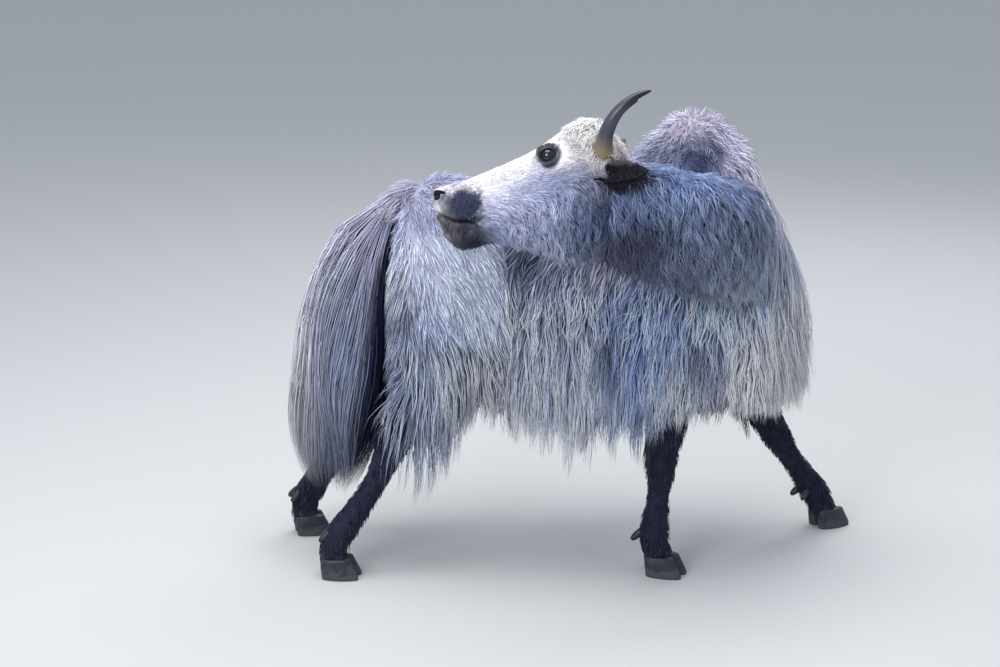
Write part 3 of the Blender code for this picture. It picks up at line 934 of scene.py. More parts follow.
    def shapes(self) -> dict:
        """The rough shapes of each region, as closed shells that overlap.

        Returns:
            A shape for each region.
        """
        made = {region: bmesh.new() for region in Region}
        loft(made[Region.TRUNK], self.trunk_rings())
        for centre, sizes in self.muscles:
            self.add_lump(made[Region.TRUNK], Vector(centre), np.eye(3), sizes)
        loft(made[Region.NECK], tube_rings(smooth_rows(self.neck, 4), level_side, 32))
        loft(made[Region.TAIL], tube_rings(smooth_rows(self.tail, 5), body_side, 16))
        for leg in self.legs:
            rows = tuple((x, y, z, r, r, r * deep, r * deep) for x, y, z, r, deep in leg)
            loft(made[Region.LEG], tube_rings(smooth_rows(rows, 3), body_side, 24))
        loft(made[Region.HEAD], self.head_rings())
        for (ahead, up, side), sizes in self.lumps:
            for hand in Hand:
                centre = HEAD.point(ahead, up, side * hand.value)
                self.add_lump(made[Region.HEAD], centre, HEAD.axes(), sizes)
        for hand in Hand:
            loft(made[Region.EAR], self.ear_rings(hand))
        return made

    def joined(self, name: str, shapes: list, voxel: float, rounds: int) -> bpy.types.Object:
        """Merges overlapping shells into one surface.

        Args:
            name: Name of the new object.
            shapes: Shells to merge.
            voxel: Size of the new faces.
            rounds: Rounds of smoothing.

        Returns:
            The merged object.
        """
        whole = bmesh.new()
        for shape in shapes:
            part = bpy.data.meshes.new("part")
            shape.to_mesh(part)
            whole.from_mesh(part)
            bpy.data.meshes.remove(part)
        obj = object_from(name, whole)
        remesh = obj.modifiers.new("remesh", "REMESH")
        remesh.mode = "VOXEL"
        remesh.voxel_size = voxel
        smooth = obj.modifiers.new("smooth", "SMOOTH")
        smooth.factor = 0.5
        smooth.iterations = rounds
        return new_object(name, baked_mesh(obj))

    def refine(self, mesh: bpy.types.Mesh) -> None:
        """Cuts the faces round the eyes, nostrils and mouth finer.

        Args:
            mesh: The head's mesh, which is changed.
        """
        shape = bmesh.new()
        shape.from_mesh(mesh)
        for near_eye, near_nose in ((0.044, 0.026), (0.028, 0.0)):
            local = HEAD.into(np.array([vert.co for vert in shape.verts]))
            chosen = np.zeros(len(local), bool)
            for hand in Hand:
                socket = EyeSocket(hand)
                front = socket.centre() + np.array((0.0, 0.0, hand.value * 0.018))
                chosen |= np.linalg.norm(local - front, axis=1) < near_eye
                nostril = np.array((0.293, 0.005, hand.value * 0.041))
                chosen |= np.linalg.norm(local - nostril, axis=1) < near_nose
            if near_nose > 0:
                chosen |= (self.mouth_distance(local) < 0.010) & (local[:, 0] > 0.222)
            shape.verts.ensure_lookup_table()
            edges = [e for e in shape.edges if chosen[e.verts[0].index] and chosen[e.verts[1].index]]
            bmesh.ops.subdivide_edges(shape, edges=edges, cuts=1, use_grid_fill=True)
            shape.verts.index_update()
        bmesh.ops.triangulate(shape, faces=[face for face in shape.faces if len(face.verts) > 4])
        shape.to_mesh(mesh)
        shape.free()

    def mouth_distance(self, local: np.ndarray) -> np.ndarray:
        """Distance from the line between the lips, seen from the side."""
        return np.abs(local[:, 1] - mouth_line(local[:, 0])) / 1.21

    def sculpt(self, mesh: bpy.types.Mesh) -> None:
        """Shapes lids, nostrils, lips and the folds of the face.

        Args:
            mesh: The head's mesh, which is changed.
        """
        local = HEAD.into(vertex_array(mesh))
        for hand in Hand:
            local = EyeSocket(hand).shape_lids(local)
        side = np.sign(local[:, 2])
        for hand in Hand:
            share = nostril_share(local, hand.value)
            inward = unit(np.array((-0.70, -0.15, -hand.value * 0.70)))
            local += inward * (0.020 * bell(share, 0.80))[:, None]
            local -= inward * (0.0030 * bell(share - 1.60, 0.36))[:, None]
        lips = self.mouth_distance(local)
        reach = ramp(local[:, 0], 0.222, 0.240)
        out = unit(np.stack([np.maximum(local[:, 0] - 0.24, 0.0), local[:, 1] * 0.0, local[:, 2]], axis=1))
        local -= out * (reach * 0.0075 * bell(lips, 0.0034))[:, None]
        local += out * (reach * 0.0026 * bell(lips - 0.010, 0.005))[:, None]
        cleft = bell(local[:, 2], 0.004) * ramp(local[:, 0], 0.290, 0.305) * ramp(local[:, 1], -0.050, -0.030)
        local[:, 0] -= 0.0025 * cleft
        wrinkles = np.sin((local[:, 0] * 0.8 + local[:, 1] * 0.6) * 420.0) * bell(local[:, 0] - 0.262, 0.018)
        local[:, 2] += side * 0.0007 * wrinkles * bell(local[:, 1] + 0.045, 0.040)
        mesh.vertices.foreach_set("co", HEAD.out_of(local).astype(np.float32).ravel())
        mesh.update()

    def groove(self, mesh: bpy.types.Mesh) -> None:
        """Presses the folds before the thigh and behind the elbow into the trunk.

        Args:
            mesh: The body's mesh, which is changed.
        """
        places = vertex_array(mesh)
        normals = normal_array(mesh)
        on_side = ramp(np.abs(normals[:, 0]), 0.35, 0.75) * ramp(np.abs(places[:, 0] - 0.03), 0.13, 0.18)
        _, y, z = places.T
        thigh = bell(y - thigh_fold(z), 0.020) * ramp(z, 0.93, 0.80)
        elbow = bell(y + 0.170, 0.030) * ramp(z, 0.92, 0.80)
        depth = on_side * (0.026 * thigh + 0.020 * elbow)
        mesh.vertices.foreach_set("co", (places - normals * depth[:, None]).astype(np.float32).ravel())
        mesh.update()

    def build(self) -> bpy.types.Object:
        """Builds the skin, still measured from the trunk's line.

        Returns:
            The skin's object, closed and unwrapped.
        """
        shapes = self.shapes()
        self.sources = {region: BVHTree.FromBMesh(shape) for region, shape in shapes.items()}
        rear = [shapes[region] for region in (Region.TRUNK, Region.NECK, Region.TAIL, Region.LEG)]
        body = self.joined("body", rear, self.body_voxel, 4)
        self.groove(body.data)
        head = self.joined("skin", [shapes[Region.HEAD], shapes[Region.EAR]], self.head_voxel, 5)
        self.refine(head.data)
        self.sculpt(head.data)
        union = head.modifiers.new("union", "BOOLEAN")
        union.operation = "UNION"
        union.solver = "EXACT"
        union.object = body
        skin = new_object("skin", baked_mesh(head))
        bpy.data.objects.remove(body)
        for shape in shapes.values():
            shape.free()
        self.unwrap(skin)
        return skin

    def unwrap(self, skin: bpy.types.Object) -> None:
        """Unwraps the skin by its own shape.

        Args:
            skin: The skin's object.
        """
        mesh = skin.data
        shape = bmesh.new()
        shape.from_mesh(mesh)
        bmesh.ops.triangulate(shape, faces=shape.faces[:])
        shape.to_mesh(mesh)
        shape.free()
        mesh.uv_layers.new(name=BAKE_MAP)
        bpy.context.view_layer.objects.active = skin
        skin.select_set(True)
        bpy.ops.object.mode_set(mode="EDIT")
        bpy.ops.mesh.select_all(action="SELECT")
        bpy.ops.uv.smart_project(angle_limit=math.radians(66.0), island_margin=0.001)
        bpy.ops.object.mode_set(mode="OBJECT")
        skin.select_set(False)

    def regions(self, places: np.ndarray) -> np.ndarray:
        """The region whose rough shape is nearest to each place.

        Args:
            places: Places on the skin.

        Returns:
            One Region value for each place.
        """
        best = np.full(len(places), 9.0)
        found = np.zeros(len(places), int)
        for region, tree in self.sources.items():
            gap = np.array([tree.find_nearest(place)[3] for place in places.tolist()])
            closer = gap < best - (0.0 if region is not Region.EAR else -0.0005)
            best = np.where(closer, gap, best)
            found = np.where(closer, region.value, found)
        limb_root = (found == Region.LEG.value) & (places[:, 2] > self.limb_line)
        return np.where(limb_root, Region.TRUNK.value, found)



# Markings


@dataclass(frozen=True)
class Patch:
    """A colour that is strongest at one place and fades over its reach."""

    place: tuple
    reach: float
    colour: tuple


def patches(*rows: tuple) -> tuple:
    """Patches from rows that hold a place's two measures, a reach and a colour."""
    return tuple(Patch(row[:2], row[2], row[3:]) for row in rows)


@dataclass(frozen=True)
class Markings:
    """Colours of coat and skin, with painted shade in some folds, gaps and hollows and painted light on the
    ears' rims and the tail's rear side; trunk patches are by length and height, head patches by the head's
    axes.
    """

    # Most rows are coat colours. Some rows are painted shade: the narrow dark ones at the fold before the
    # thigh (0.08, 0.7 and 0.06, 0.85), the two at the haunch's rear beside the tail (0.415, 0.72 and 0.405,
    # 0.54), the column behind the elbow (-0.158 to -0.162), and two in the hollow between the hump and the
    # neck (-0.43, 1.02 and -0.37, 1.12).
    trunk: tuple = patches(
        (0.4, 0.96, 0.08, 0.42, 0.4, 0.58), (0.25, 1.02, 0.1, 0.48, 0.48, 0.68),
        (0.31, 0.82, 0.11, 0.74, 0.76, 0.92), (0.18, 0.72, 0.12, 0.78, 0.82, 0.95),
        (0.3, 0.64, 0.08, 0.5, 0.58, 0.8), (0.415, 0.72, 0.05, 0.12, 0.14, 0.24),
        (0.405, 0.54, 0.06, 0.16, 0.19, 0.3), (0.26, 0.5, 0.1, 0.22, 0.28, 0.44),
        (0.15, 0.48, 0.06, 0.36, 0.4, 0.54), (0.3, 0.32, 0.11, 0.09, 0.11, 0.18),
        (0.08, 0.7, 0.03, 0.16, 0.2, 0.34), (0.06, 0.85, 0.07, 0.1, 0.12, 0.22),
        (0.0, 0.72, 0.1, 0.48, 0.56, 0.8), (-0.08, 0.62, 0.07, 0.56, 0.63, 0.84),
        (-0.03, 0.5, 0.1, 0.54, 0.6, 0.78), (-0.05, 0.34, 0.09, 0.1, 0.12, 0.18),
        (-0.158, 0.7, 0.035, 0.06, 0.08, 0.17), (-0.158, 0.56, 0.035, 0.06, 0.08, 0.17),
        (-0.162, 0.44, 0.035, 0.06, 0.08, 0.17), (-0.23, 0.73, 0.07, 0.3, 0.41, 0.72),
        (-0.24, 0.56, 0.07, 0.22, 0.3, 0.52), (-0.21, 0.37, 0.06, 0.05, 0.06, 0.13),
        (-0.33, 0.6, 0.05, 0.54, 0.6, 0.72), (-0.34, 0.47, 0.05, 0.36, 0.38, 0.46),
        (-0.425, 0.665, 0.035, 0.2, 0.24, 0.38), (-0.52, 0.62, 0.05, 0.64, 0.68, 0.84),
        (-0.45, 0.53, 0.035, 0.22, 0.25, 0.36), (-0.52, 0.47, 0.05, 0.8, 0.73, 0.62),
        (-0.6, 0.56, 0.07, 0.8, 0.78, 0.88), (-0.61, 0.74, 0.09, 0.76, 0.77, 0.94),
        (-0.5, 0.84, 0.07, 0.44, 0.6, 0.92), (-0.56, 0.94, 0.06, 0.46, 0.5, 0.72),
        (-0.43, 1.02, 0.05, 0.1, 0.13, 0.26), (-0.52, 1.06, 0.06, 0.82, 0.74, 0.9),
        (-0.37, 1.23, 0.07, 0.62, 0.55, 0.66), (-0.37, 1.12, 0.05, 0.13, 0.18, 0.36),
        (-0.15, 1.02, 0.12, 0.46, 0.46, 0.62),
    )
    neck: tuple = patches(
        (-0.14, 1.08, 0.07, 0.18, 0.25, 0.46), (-0.27, 1.07, 0.06, 0.2, 0.3, 0.56),
        (-0.205, 1.015, 0.06, 0.035, 0.055, 0.15), (-0.15, 0.985, 0.05, 0.03, 0.045, 0.12),
        (-0.38, 1.0, 0.07, 0.24, 0.34, 0.62), (-0.18, 0.93, 0.06, 0.12, 0.2, 0.42),
        (-0.28, 0.95, 0.05, 0.22, 0.34, 0.66), (-0.3, 0.86, 0.06, 0.09, 0.12, 0.24),
        (-0.2, 0.82, 0.06, 0.035, 0.035, 0.06), (-0.45, 0.86, 0.08, 0.5, 0.66, 0.94),
        (-0.39, 0.8, 0.05, 0.16, 0.2, 0.36),
    )
    head: tuple = patches(
        (0.15, 0.01, 0.07, 0.97, 0.93, 0.96), (0.245, 0.018, 0.03, 0.62, 0.58, 0.68),
        (-0.07, 0.04, 0.07, 0.98, 0.93, 0.89), (-0.01, 0.05, 0.06, 0.98, 0.95, 0.94),
        (-0.105, -0.02, 0.05, 0.96, 0.89, 0.86), (0.13, -0.075, 0.06, 0.48, 0.5, 0.7),
        (0.02, -0.08, 0.04, 0.34, 0.38, 0.58), (-0.075, -0.075, 0.04, 0.34, 0.38, 0.56),
        (-0.105, -0.12, 0.07, 0.026, 0.04, 0.11), (0.09, -0.15, 0.06, 0.44, 0.49, 0.72),
        (-0.01, -0.18, 0.05, 0.18, 0.26, 0.48), (0.18, -0.14, 0.04, 0.32, 0.37, 0.56),
        (-0.02, -0.24, 0.05, 0.16, 0.18, 0.27), (-0.1, -0.29, 0.06, 0.09, 0.08, 0.11),
    )
    muzzle: tuple = (0.003, 0.010, 0.044)
    muzzle_bare: tuple = (0.11, 0.12, 0.14)
    chin: tuple = (0.030, 0.021, 0.027)
    lip_rim: tuple = (0.62, 0.58, 0.66)
    eye_ring: tuple = (0.010, 0.011, 0.026)
    lid_rim: tuple = (0.004, 0.004, 0.009)
    lower_lid: tuple = (0.18, 0.22, 0.33)
    # Near-black, painted shade: in the nostril openings and along the line between the lips.
    nostril: tuple = (0.002, 0.002, 0.004)
    ear: tuple = (0.005, 0.004, 0.012)
    # Painted light on the ears' lit upper rim: brown on both ears, paler on the far ear.
    ear_rim_light: tuple = (0.13, 0.10, 0.10)
    far_ear_rim_light: tuple = (0.50, 0.46, 0.52)
    leg: tuple = (0.013, 0.018, 0.046)
    leg_pale: tuple = (0.15, 0.15, 0.19)
    tail_top: tuple = (0.42, 0.41, 0.56)
    # Tail's rear side: partly its paler hair, partly painted light on its lit edge.
    tail_outer_pale_and_lit: tuple = (0.58, 0.58, 0.64)
    # Near-black, painted shade on the tail's side that faces the haunch.
    tail_inner_shade: tuple = (0.010, 0.014, 0.045)
    tail_middle: tuple = (0.25, 0.29, 0.42)

    def blended(self, flat: np.ndarray, table: tuple) -> np.ndarray:
        """Mix of the patches, each weighed by how near it is.

        Args:
            flat: Places, by two measures each.
            table: The patches to mix.

        Returns:
            One colour for each place.
        """
        total = np.full((len(flat), 1), 1e-9)
        colour = np.zeros((len(flat), 3))
        for patch in table:
            gap = np.sum((flat - np.array(patch.place)) ** 2, axis=1)
            weight = (np.exp(-gap / patch.reach ** 2) + 1e-5 / (1.0 + gap * 40.0))[:, None]
            total += weight
            colour += weight * np.array(patch.colour)
        return colour / total

    def over(self, colour: np.ndarray, share: np.ndarray, other: tuple) -> np.ndarray:
        """Lays another colour over by a share for each place.

        Args:
            colour: Colours, one for each row.
            share: How much of the other colour each gets.
            other: The other colour.

        Returns:
            The colours mixed.
        """
        share = np.clip(share, 0.0, 1.0)[:, None]
        return colour * (1 - share) + np.array(other) * share

    def on_head(self, places: np.ndarray) -> tuple:
        """Colour of the head and how bare and wet it is.

        Args:
            places: Places on the head.

        Returns:
            The colours and the bareness.
        """
        local = HEAD.into(places)
        ahead, up = local[:, 0], local[:, 1]
        colour = self.blended(local[:, :2], self.head)
        streak = mottle(places, 0.018, 4.0)
        soft = 0.012 * mottle(places, 0.03, 9.0)
        fine = mottle(places, 0.006, 5.0)
        mouth = up - mouth_line(ahead)
        patch = np.sqrt(((ahead - 0.243 + soft) / 0.046) ** 2 + ((up + 0.050 + soft) / 0.047) ** 2)
        patch = patch + 0.20 * streak + 0.24 * fine
        colour = self.over(colour, ramp(patch, 1.50, 0.72) * 0.97, self.muzzle)
        snout = ramp(ahead, 0.262, 0.286) * ramp(mouth, 0.000, 0.006)
        colour = self.over(colour, snout * ramp(up, 0.012, -0.004) * 0.80, self.muzzle_bare)
        chin = ramp(mouth, 0.001, -0.006) * ramp(ahead + 0.3 * mouth, 0.185, 0.225)
        colour = self.over(colour, chin * (0.86 + 0.2 * streak), self.chin)
        shadow = bell(mouth + 0.050, 0.020) * ramp(ahead, 0.290, 0.255)
        colour = self.over(colour, chin * shadow * 0.8, self.muzzle)
        front = ramp(ahead, 0.298, 0.305) * ramp(mouth, 0.001, 0.006) * ramp(up, -0.006, -0.016)
        colour = self.over(colour, front * 0.85, self.lip_rim)
        # Painted shade in the crease between the lips.
        colour = self.over(colour, bell(mouth, 0.0045) * ramp(ahead, 0.215, 0.235) * 0.9, self.nostril)
        bare = ramp(ahead, 0.276, 0.292) * ramp(mouth, -0.004, 0.004)
        for hand in Hand:
            socket = EyeSocket(hand)
            share, tall, reach, _ = socket.round_opening(local)
            near = reach < 0.070
            ring = ramp(socket.ring(local) + 0.08 * streak, 1.12, 0.84)
            colour = self.over(colour, ring * 0.95, self.eye_ring)
            crease = np.where(near, bell(share - 2.05, 0.20) * ramp(tall, -0.4, 0.8), 0.0)
            colour = self.over(colour, crease * 0.22, self.lower_lid)
            rim = np.where(near, ramp(share, 1.36, 1.16), 0.0)
            colour = self.over(colour, rim, self.lid_rim)
            lower = np.where(near, bell(share - 1.26, 0.12) * ramp(-tall, -0.1, 0.5), 0.0)
            colour = self.over(colour, lower * 0.9, self.lower_lid)
            bare = np.maximum(bare, rim * 0.9)
            # Painted shade in the nostril opening.
            colour = self.over(colour, ramp(nostril_share(local, hand.value), 1.35, 1.05), self.nostril)
        return colour, bare

    def at(self, places: np.ndarray, regions: np.ndarray) -> tuple:
        """Colour of coat or skin at given places.

        Args:
            places: Places on the skin.
            regions: The region of each.

        Returns:
            Linear colours, one for each row, and how bare the skin is.
        """
        flat = places[:, 1:3]
        colour = self.blended(flat, self.trunk)
        bare = np.zeros(len(places))
        height = places[:, 2]
        # Darker underneath the trunk: partly the belly's dark hair, partly painted shade under the belly.
        under = (regions == Region.TRUNK.value) * ramp(height, 0.52, 0.47) * 0.6
        colour = self.over(colour, under, (0.16, 0.18, 0.24))
        chosen = regions == Region.NECK.value
        colour[chosen] = self.blended(flat[chosen], self.neck)
        chosen = regions == Region.HEAD.value
        if chosen.any():
            colour[chosen], bare[chosen] = self.on_head(places[chosen])
        chosen = regions == Region.EAR.value
        local = HEAD.into(places[chosen])
        # The upper rim is painted lighter as lit.
        crest = local[:, 1] + 0.078 + 0.44 * (-0.098 - local[:, 0]) * (local[:, 2] < 0)
        edge = ramp(crest + 0.006 * mottle(places[chosen], 0.012, 2.0), 0.014, 0.026)
        ears = self.over(np.tile(self.ear, (chosen.sum(), 1)), edge * 0.8, self.ear_rim_light)
        colour[chosen] = self.over(ears, edge * (local[:, 2] > 0) * 0.8, self.far_ear_rim_light)
        chosen = regions == Region.LEG.value
        pale = mottle(places[chosen], 0.020, 7.0) * 0.5 + ramp(height[chosen], 0.090, 0.055)
        legs = self.over(np.tile(self.leg, (chosen.sum(), 1)), ramp(pale, 0.5, 1.3) * 0.6, self.leg_pale)
        colour[chosen] = legs
        chosen = regions == Region.TAIL.value
        tails = np.tile(self.tail_middle, (chosen.sum(), 1))
        colour[chosen] = self.over(tails, ramp(height[chosen], 0.80, 0.92), self.tail_top)
        # Painted shade along the fold before the thigh.
        fold = bell(places[:, 1] - thigh_fold(height), 0.011)
        fold = fold * ramp(height, 0.50, 0.58) * ramp(height, 0.92, 0.82) * (regions == Region.TRUNK.value)
        colour = self.over(colour, fold * 0.85, (0.05, 0.065, 0.13))
        blotch = mottle(places, 0.070, 1.0) * 0.75 + mottle(places, 0.026, 3.0) * 0.45
        # Painted shade in patches along the hollow between the hump and the neck.
        dark = ramp(mottle(places, 0.045, 6.0), 0.10, 0.45)
        dark = dark * bell(places[:, 1] + 0.43, 0.12) * ramp(height, 0.90, 0.98)
        dark = np.where((regions == Region.HEAD.value) | (height > 1.17), 0.0, dark)
        colour = self.over(colour, dark * 0.80, (0.045, 0.058, 0.13))
        depth = np.where(regions == Region.HEAD.value, 0.14, 0.40)
        return colour * (1.0 + depth * blotch)[:, None], bare


# Coat


@dataclass
class Roots:
    """Where each tuft grows and what it is like."""

    places: np.ndarray
    normals: np.ndarray
    uvs: np.ndarray
    regions: np.ndarray
    length: np.ndarray = None
    width: np.ndarray = None
    flow: np.ndarray = None
    lift: np.ndarray = None
    fall: np.ndarray = None
    depth: np.ndarray = None
    wave: np.ndarray = None
    pitch: np.ndarray = None
    clump: np.ndarray = None

    def chosen(self, mask: np.ndarray) -> "Roots":
        """The roots that a mask picks."""
        return Roots(**{key: None if value is None else value[mask] for key, value in self.__dict__.items()})


@dataclass
class Coat:
    """Tufts of hair over the whole skin, in joined pieces."""

    skin: Skin
    markings: Markings
    trunk_density: float = 11500.0
    flank_density: float = 19500.0
    neck_density: float = 26500.0
    head_density: float = 64000.0
    ear_density: float = 46000.0
    leg_density: float = 11500.0
    tail_density: float = 14000.0
    tail_strands: int = 4700
    bands: tuple = (
        ("short", 0.0, 0.022, 2), ("mid", 0.022, 0.050, 3),
        ("long", 0.050, 0.105, 4), ("hanging", 0.105, 9.0, 5),
    )
    hem: tuple = (
        (-0.592, 0.43), (-0.54, 0.425), (-0.48, 0.43), (-0.415, 0.425), (-0.335, 0.4), (-0.27, 0.345),
        (-0.19, 0.295), (-0.08, 0.295), (0.05, 0.315), (0.15, 0.36), (0.2, 0.3), (0.28, 0.205),
        (0.37, 0.205), (0.424, 0.245), (0.438, 0.36),
    )

    def measure(self, obj: bpy.types.Object) -> None:
        """Reads the skin's triangles, their regions and its unwrap.

        Args:
            obj: The skin's object.
        """
        mesh = obj.data
        self.verts = vertex_array(mesh)
        self.vert_normals = normal_array(mesh).astype(float)
        corners = np.empty(len(mesh.polygons) * 3, np.int32)
        mesh.loops.foreach_get("vertex_index", corners)
        self.faces = corners.reshape(-1, 3)
        uvs = np.empty(len(corners) * 2, np.float32)
        mesh.uv_layers[BAKE_MAP].data.foreach_get("uv", uvs)
        self.face_uvs = uvs.reshape(-1, 3, 2)
        self.vert_regions = self.skin.regions(self.verts)
        self.tree = BVHTree.FromPolygons(self.verts.tolist(), self.faces.tolist())

    def dress_skin(self, obj: bpy.types.Object) -> None:
        """Gives the skin the coat's own markings as attributes.

        Args:
            obj: The skin's object.
        """
        colour, bare = self.markings.at(self.verts, self.vert_regions)
        shade = np.where(self.vert_regions == Region.HEAD.value, 0.92, 0.55)
        mark(obj.data, "tint", np.hstack([colour * shade[:, None], np.ones((len(colour), 1))]))
        mark(obj.data, "bare", bare)

    def density(self, places: np.ndarray, regions: np.ndarray) -> np.ndarray:
        """Tufts for each square metre of skin.

        Args:
            places: Middles of the skin's faces.
            regions: The region of each.

        Returns:
            The density at each place.
        """
        height = places[:, 2]
        flank = ramp(height, 0.80, 0.70) * ramp(height, 0.47, 0.53)
        table = np.array([self.trunk_density, self.neck_density, self.head_density, self.ear_density,
                          self.leg_density, self.tail_density])
        result = table[regions]
        trunk = regions == Region.TRUNK.value
        on_trunk = self.trunk_density + (self.flank_density - self.trunk_density) * flank
        result = np.where(trunk, on_trunk, result)
        result = np.where(trunk & (height < 0.50), self.trunk_density * 0.45, result)
        result = np.where((regions == Region.TAIL.value) & (height < 0.78), 0.0, result)
        local = HEAD.into(places)
        on_head = regions == Region.HEAD.value
        below_mouth = ramp(local[:, 1] - mouth_line(local[:, 0]), -0.004, -0.012)
        bald = np.maximum(ramp(local[:, 0], 0.296, 0.280), below_mouth * ramp(local[:, 0], 0.306, 0.298))
        for hand in Hand:
            share, _, reach, _ = EyeSocket(hand).round_opening(local)
            bald = bald * np.where(reach < 0.06, ramp(share, 1.30, 1.55), 1.0)
        below = ramp(local[:, 1], -0.12, -0.17) * 0.45
        return np.where(on_head, result * bald * (1.0 - below), result)

    def sample(self, rng: np.random.Generator) -> Roots:
        """Draws the tufts' roots on the skin.

        Args:
            rng: Source of random numbers.

        Returns:
            The roots.
        """
        corners = self.verts[self.faces]
        first, second = corners[:, 1] - corners[:, 0], corners[:, 2] - corners[:, 0]
        area = np.linalg.norm(np.cross(first, second), axis=1) / 2
        middle = corners.mean(axis=1)
        regions = self.vert_regions[self.faces[:, 0]]
        expected = area * self.density(middle, regions)
        count = int(expected.sum())
        draws = (np.arange(count) + rng.random(count)) * expected.sum() / count
        picks = np.searchsorted(np.cumsum(expected), draws)
        picks = np.minimum(picks, len(area) - 1)
        share = rng.random((count, 2))
        share = np.where(share.sum(axis=1, keepdims=True) > 1, 1 - share, share)
        weights = np.stack([1 - share.sum(axis=1), share[:, 0], share[:, 1]], axis=1)[:, :, None]
        return Roots(
            places=(corners[picks] * weights).sum(axis=1),
            normals=unit((self.vert_normals[self.faces[picks]] * weights).sum(axis=1)),
            uvs=(self.face_uvs[picks] * weights).sum(axis=1),
            regions=regions[picks],
        )

    def style(self, roots: Roots, rng: np.random.Generator) -> None:
        """Length, width, lie and wave of each tuft, by region and place.

        Args:
            roots: The tufts, which get the values.
            rng: Source of random numbers.
        """
        count = len(roots.places)
        x, y, z = roots.places.T
        level = roots.normals[:, 2]
        hem = np.interp(y, *np.array(self.hem).T)
        out = unit(roots.normals * np.array((1.0, 1.0, 0.0)) + 1e-6)
        haunch = ramp(y, 0.08, 0.16) * ramp(z, 0.56, 0.68)
        hump = bell(y + 0.37, 0.17) * ramp(z, 0.98, 1.10)
        mane = ramp(y, -0.50, -0.56)
        top = ramp(z, 0.76, 0.94)
        ragged = 0.92 + 0.10 * mottle(roots.places, 0.060, 21.0) + 0.06 * mottle(roots.places, 0.022, 22.0)
        lower = np.minimum(np.maximum(z - hem, 0.06), 0.42) * ragged * (0.74 + 0.34 * rng.random(count))
        length = lower * (1 - ramp(z, 0.60, 0.76)) + 0.120 * ramp(z, 0.60, 0.76)
        seat = ramp(roots.normals[:, 1], 0.35, 0.75) * ramp(y, 0.35, 0.39) * ramp(z, 0.90, 0.82)
        for share, reach in ((top, 0.062), (haunch, 0.048), (hump, 0.036), (seat, 0.080)):
            length = length * (1 - share) + reach * share
        length = length * (1 - mane) + np.minimum(np.maximum(z - 0.44, 0.08), 0.20) * mane
        under = (level < -0.55) & (z < 0.52)
        length = np.where(under, np.maximum(z - hem, 0.05) * (0.7 + 0.3 * rng.random(count)), length)
        back = np.array((0.0, 0.9, -0.25)) + out * 0.35
        radiate = unit(np.stack([x + 0.03, (y + 0.37) * 0.8, -0.12 + 0 * z], axis=1))
        flow = np.array((0.0, 0.12, -1.0)) * (1 - top)[:, None] + back * top[:, None]
        flow = flow * (1 - haunch)[:, None] + np.array((0.0, -0.62, -0.80)) * haunch[:, None]
        flow = flow * (1 - hump)[:, None] + radiate * hump[:, None]
        flow = flow + np.array((0.0, 0.8, 0.0)) * seat[:, None]
        depth = (0.020 + 0.028 * (1 - top) * (1 - haunch)) * rng.random(count)
        made = {
            "length": length,
            "width": 0.0029 - 0.0007 * haunch - 0.0003 * hump,
            "flow": flow,
            "lift": 0.16 - 0.02 * hump - 0.04 * haunch + 0.35 * seat,
            "fall": 0.45 + 0.35 * (1 - top) - 0.35 * hump - 0.25 * haunch,
            "depth": np.where(hump > 0.5, 0.030 * rng.random(count), depth),
            "wave": 0.0050 - 0.0030 * top - 0.0030 * haunch * (1 - top) + 0.0030 * hump,
            "pitch": np.maximum(0.085 - 0.045 * hump, length * 0.62),
            "clump": 0.50 + 0.28 * (1 - top) - 0.38 * haunch * (1 - top),
        }

        def put(mask: np.ndarray, **values) -> None:
            """Gives the tufts that a mask picks values of their own."""
            for key, value in values.items():
                made[key] = np.where(mask[:, None] if key == "flow" else mask, value, made[key])

        put(roots.regions == Region.NECK.value, length=0.085 + 0.045 * ramp(z, 1.06, 0.90),
            flow=(-0.25, -0.42, -0.9), lift=0.20, fall=0.50, depth=0.024 * rng.random(count), wave=0.0072,
            pitch=0.074, clump=0.84)
        leg = roots.regions == Region.LEG.value
        put(leg, length=0.020 + 0.016 * ramp(z, 0.105, 0.080), width=0.0032, flow=(0.0, 0.0, -1.0), lift=0.22,
            fall=0.25, depth=0.004 * rng.random(count), wave=0.0008)
        put(leg & (z > 0.38) & (z < 0.56), length=0.045 + 0.06 * ramp(roots.normals[:, 1], 0.0, 0.8))
        put(roots.regions == Region.TAIL.value, length=0.085, flow=(0.0, 0.62, -0.78), lift=0.45, fall=0.35,
            depth=0.022 * rng.random(count))
        ear = roots.regions == Region.EAR.value
        side = HEAD.into(roots.places)[:, 2:3]
        near, far = (np.array(self.skin.ear_axes(hand)[1]) for hand in Hand)
        fringe = ramp(roots.normals[:, 2], -0.05, -0.6)
        ear_flow = np.where(side < 0, near, far) - np.array((0.0, 0.0, 1.0)) * fringe[:, None] * 1.3
        put(ear, length=0.012 + 0.044 * fringe, width=0.0016, flow=ear_flow, lift=0.14 + 0.1 * fringe,
            fall=0.30, depth=0.005 * rng.random(count), wave=0.0015)
        put(roots.regions == Region.HEAD.value, **self.head_style(roots.places, roots.normals, rng))

        flow = made["flow"] - roots.normals * dots(made["flow"], roots.normals)
        swirl = 0.24 * mottle(roots.places, 0.09, 11.0) + 0.18 * mottle(roots.places, 0.035, 13.0)
        swirl = swirl * np.where(ear, 0.4, 1.0) + rng.normal(0.0, 0.07, count)
        roots.flow = unit(unit(flow) + np.cross(roots.normals, unit(flow)) * swirl[:, None])
        roots.length = made["length"] * (0.82 + 0.36 * rng.random(count))
        roots.width = made["width"] * (0.75 + 0.5 * rng.random(count))
        for key in ("lift", "fall", "depth", "wave", "pitch", "clump"):
            setattr(roots, key, made[key])

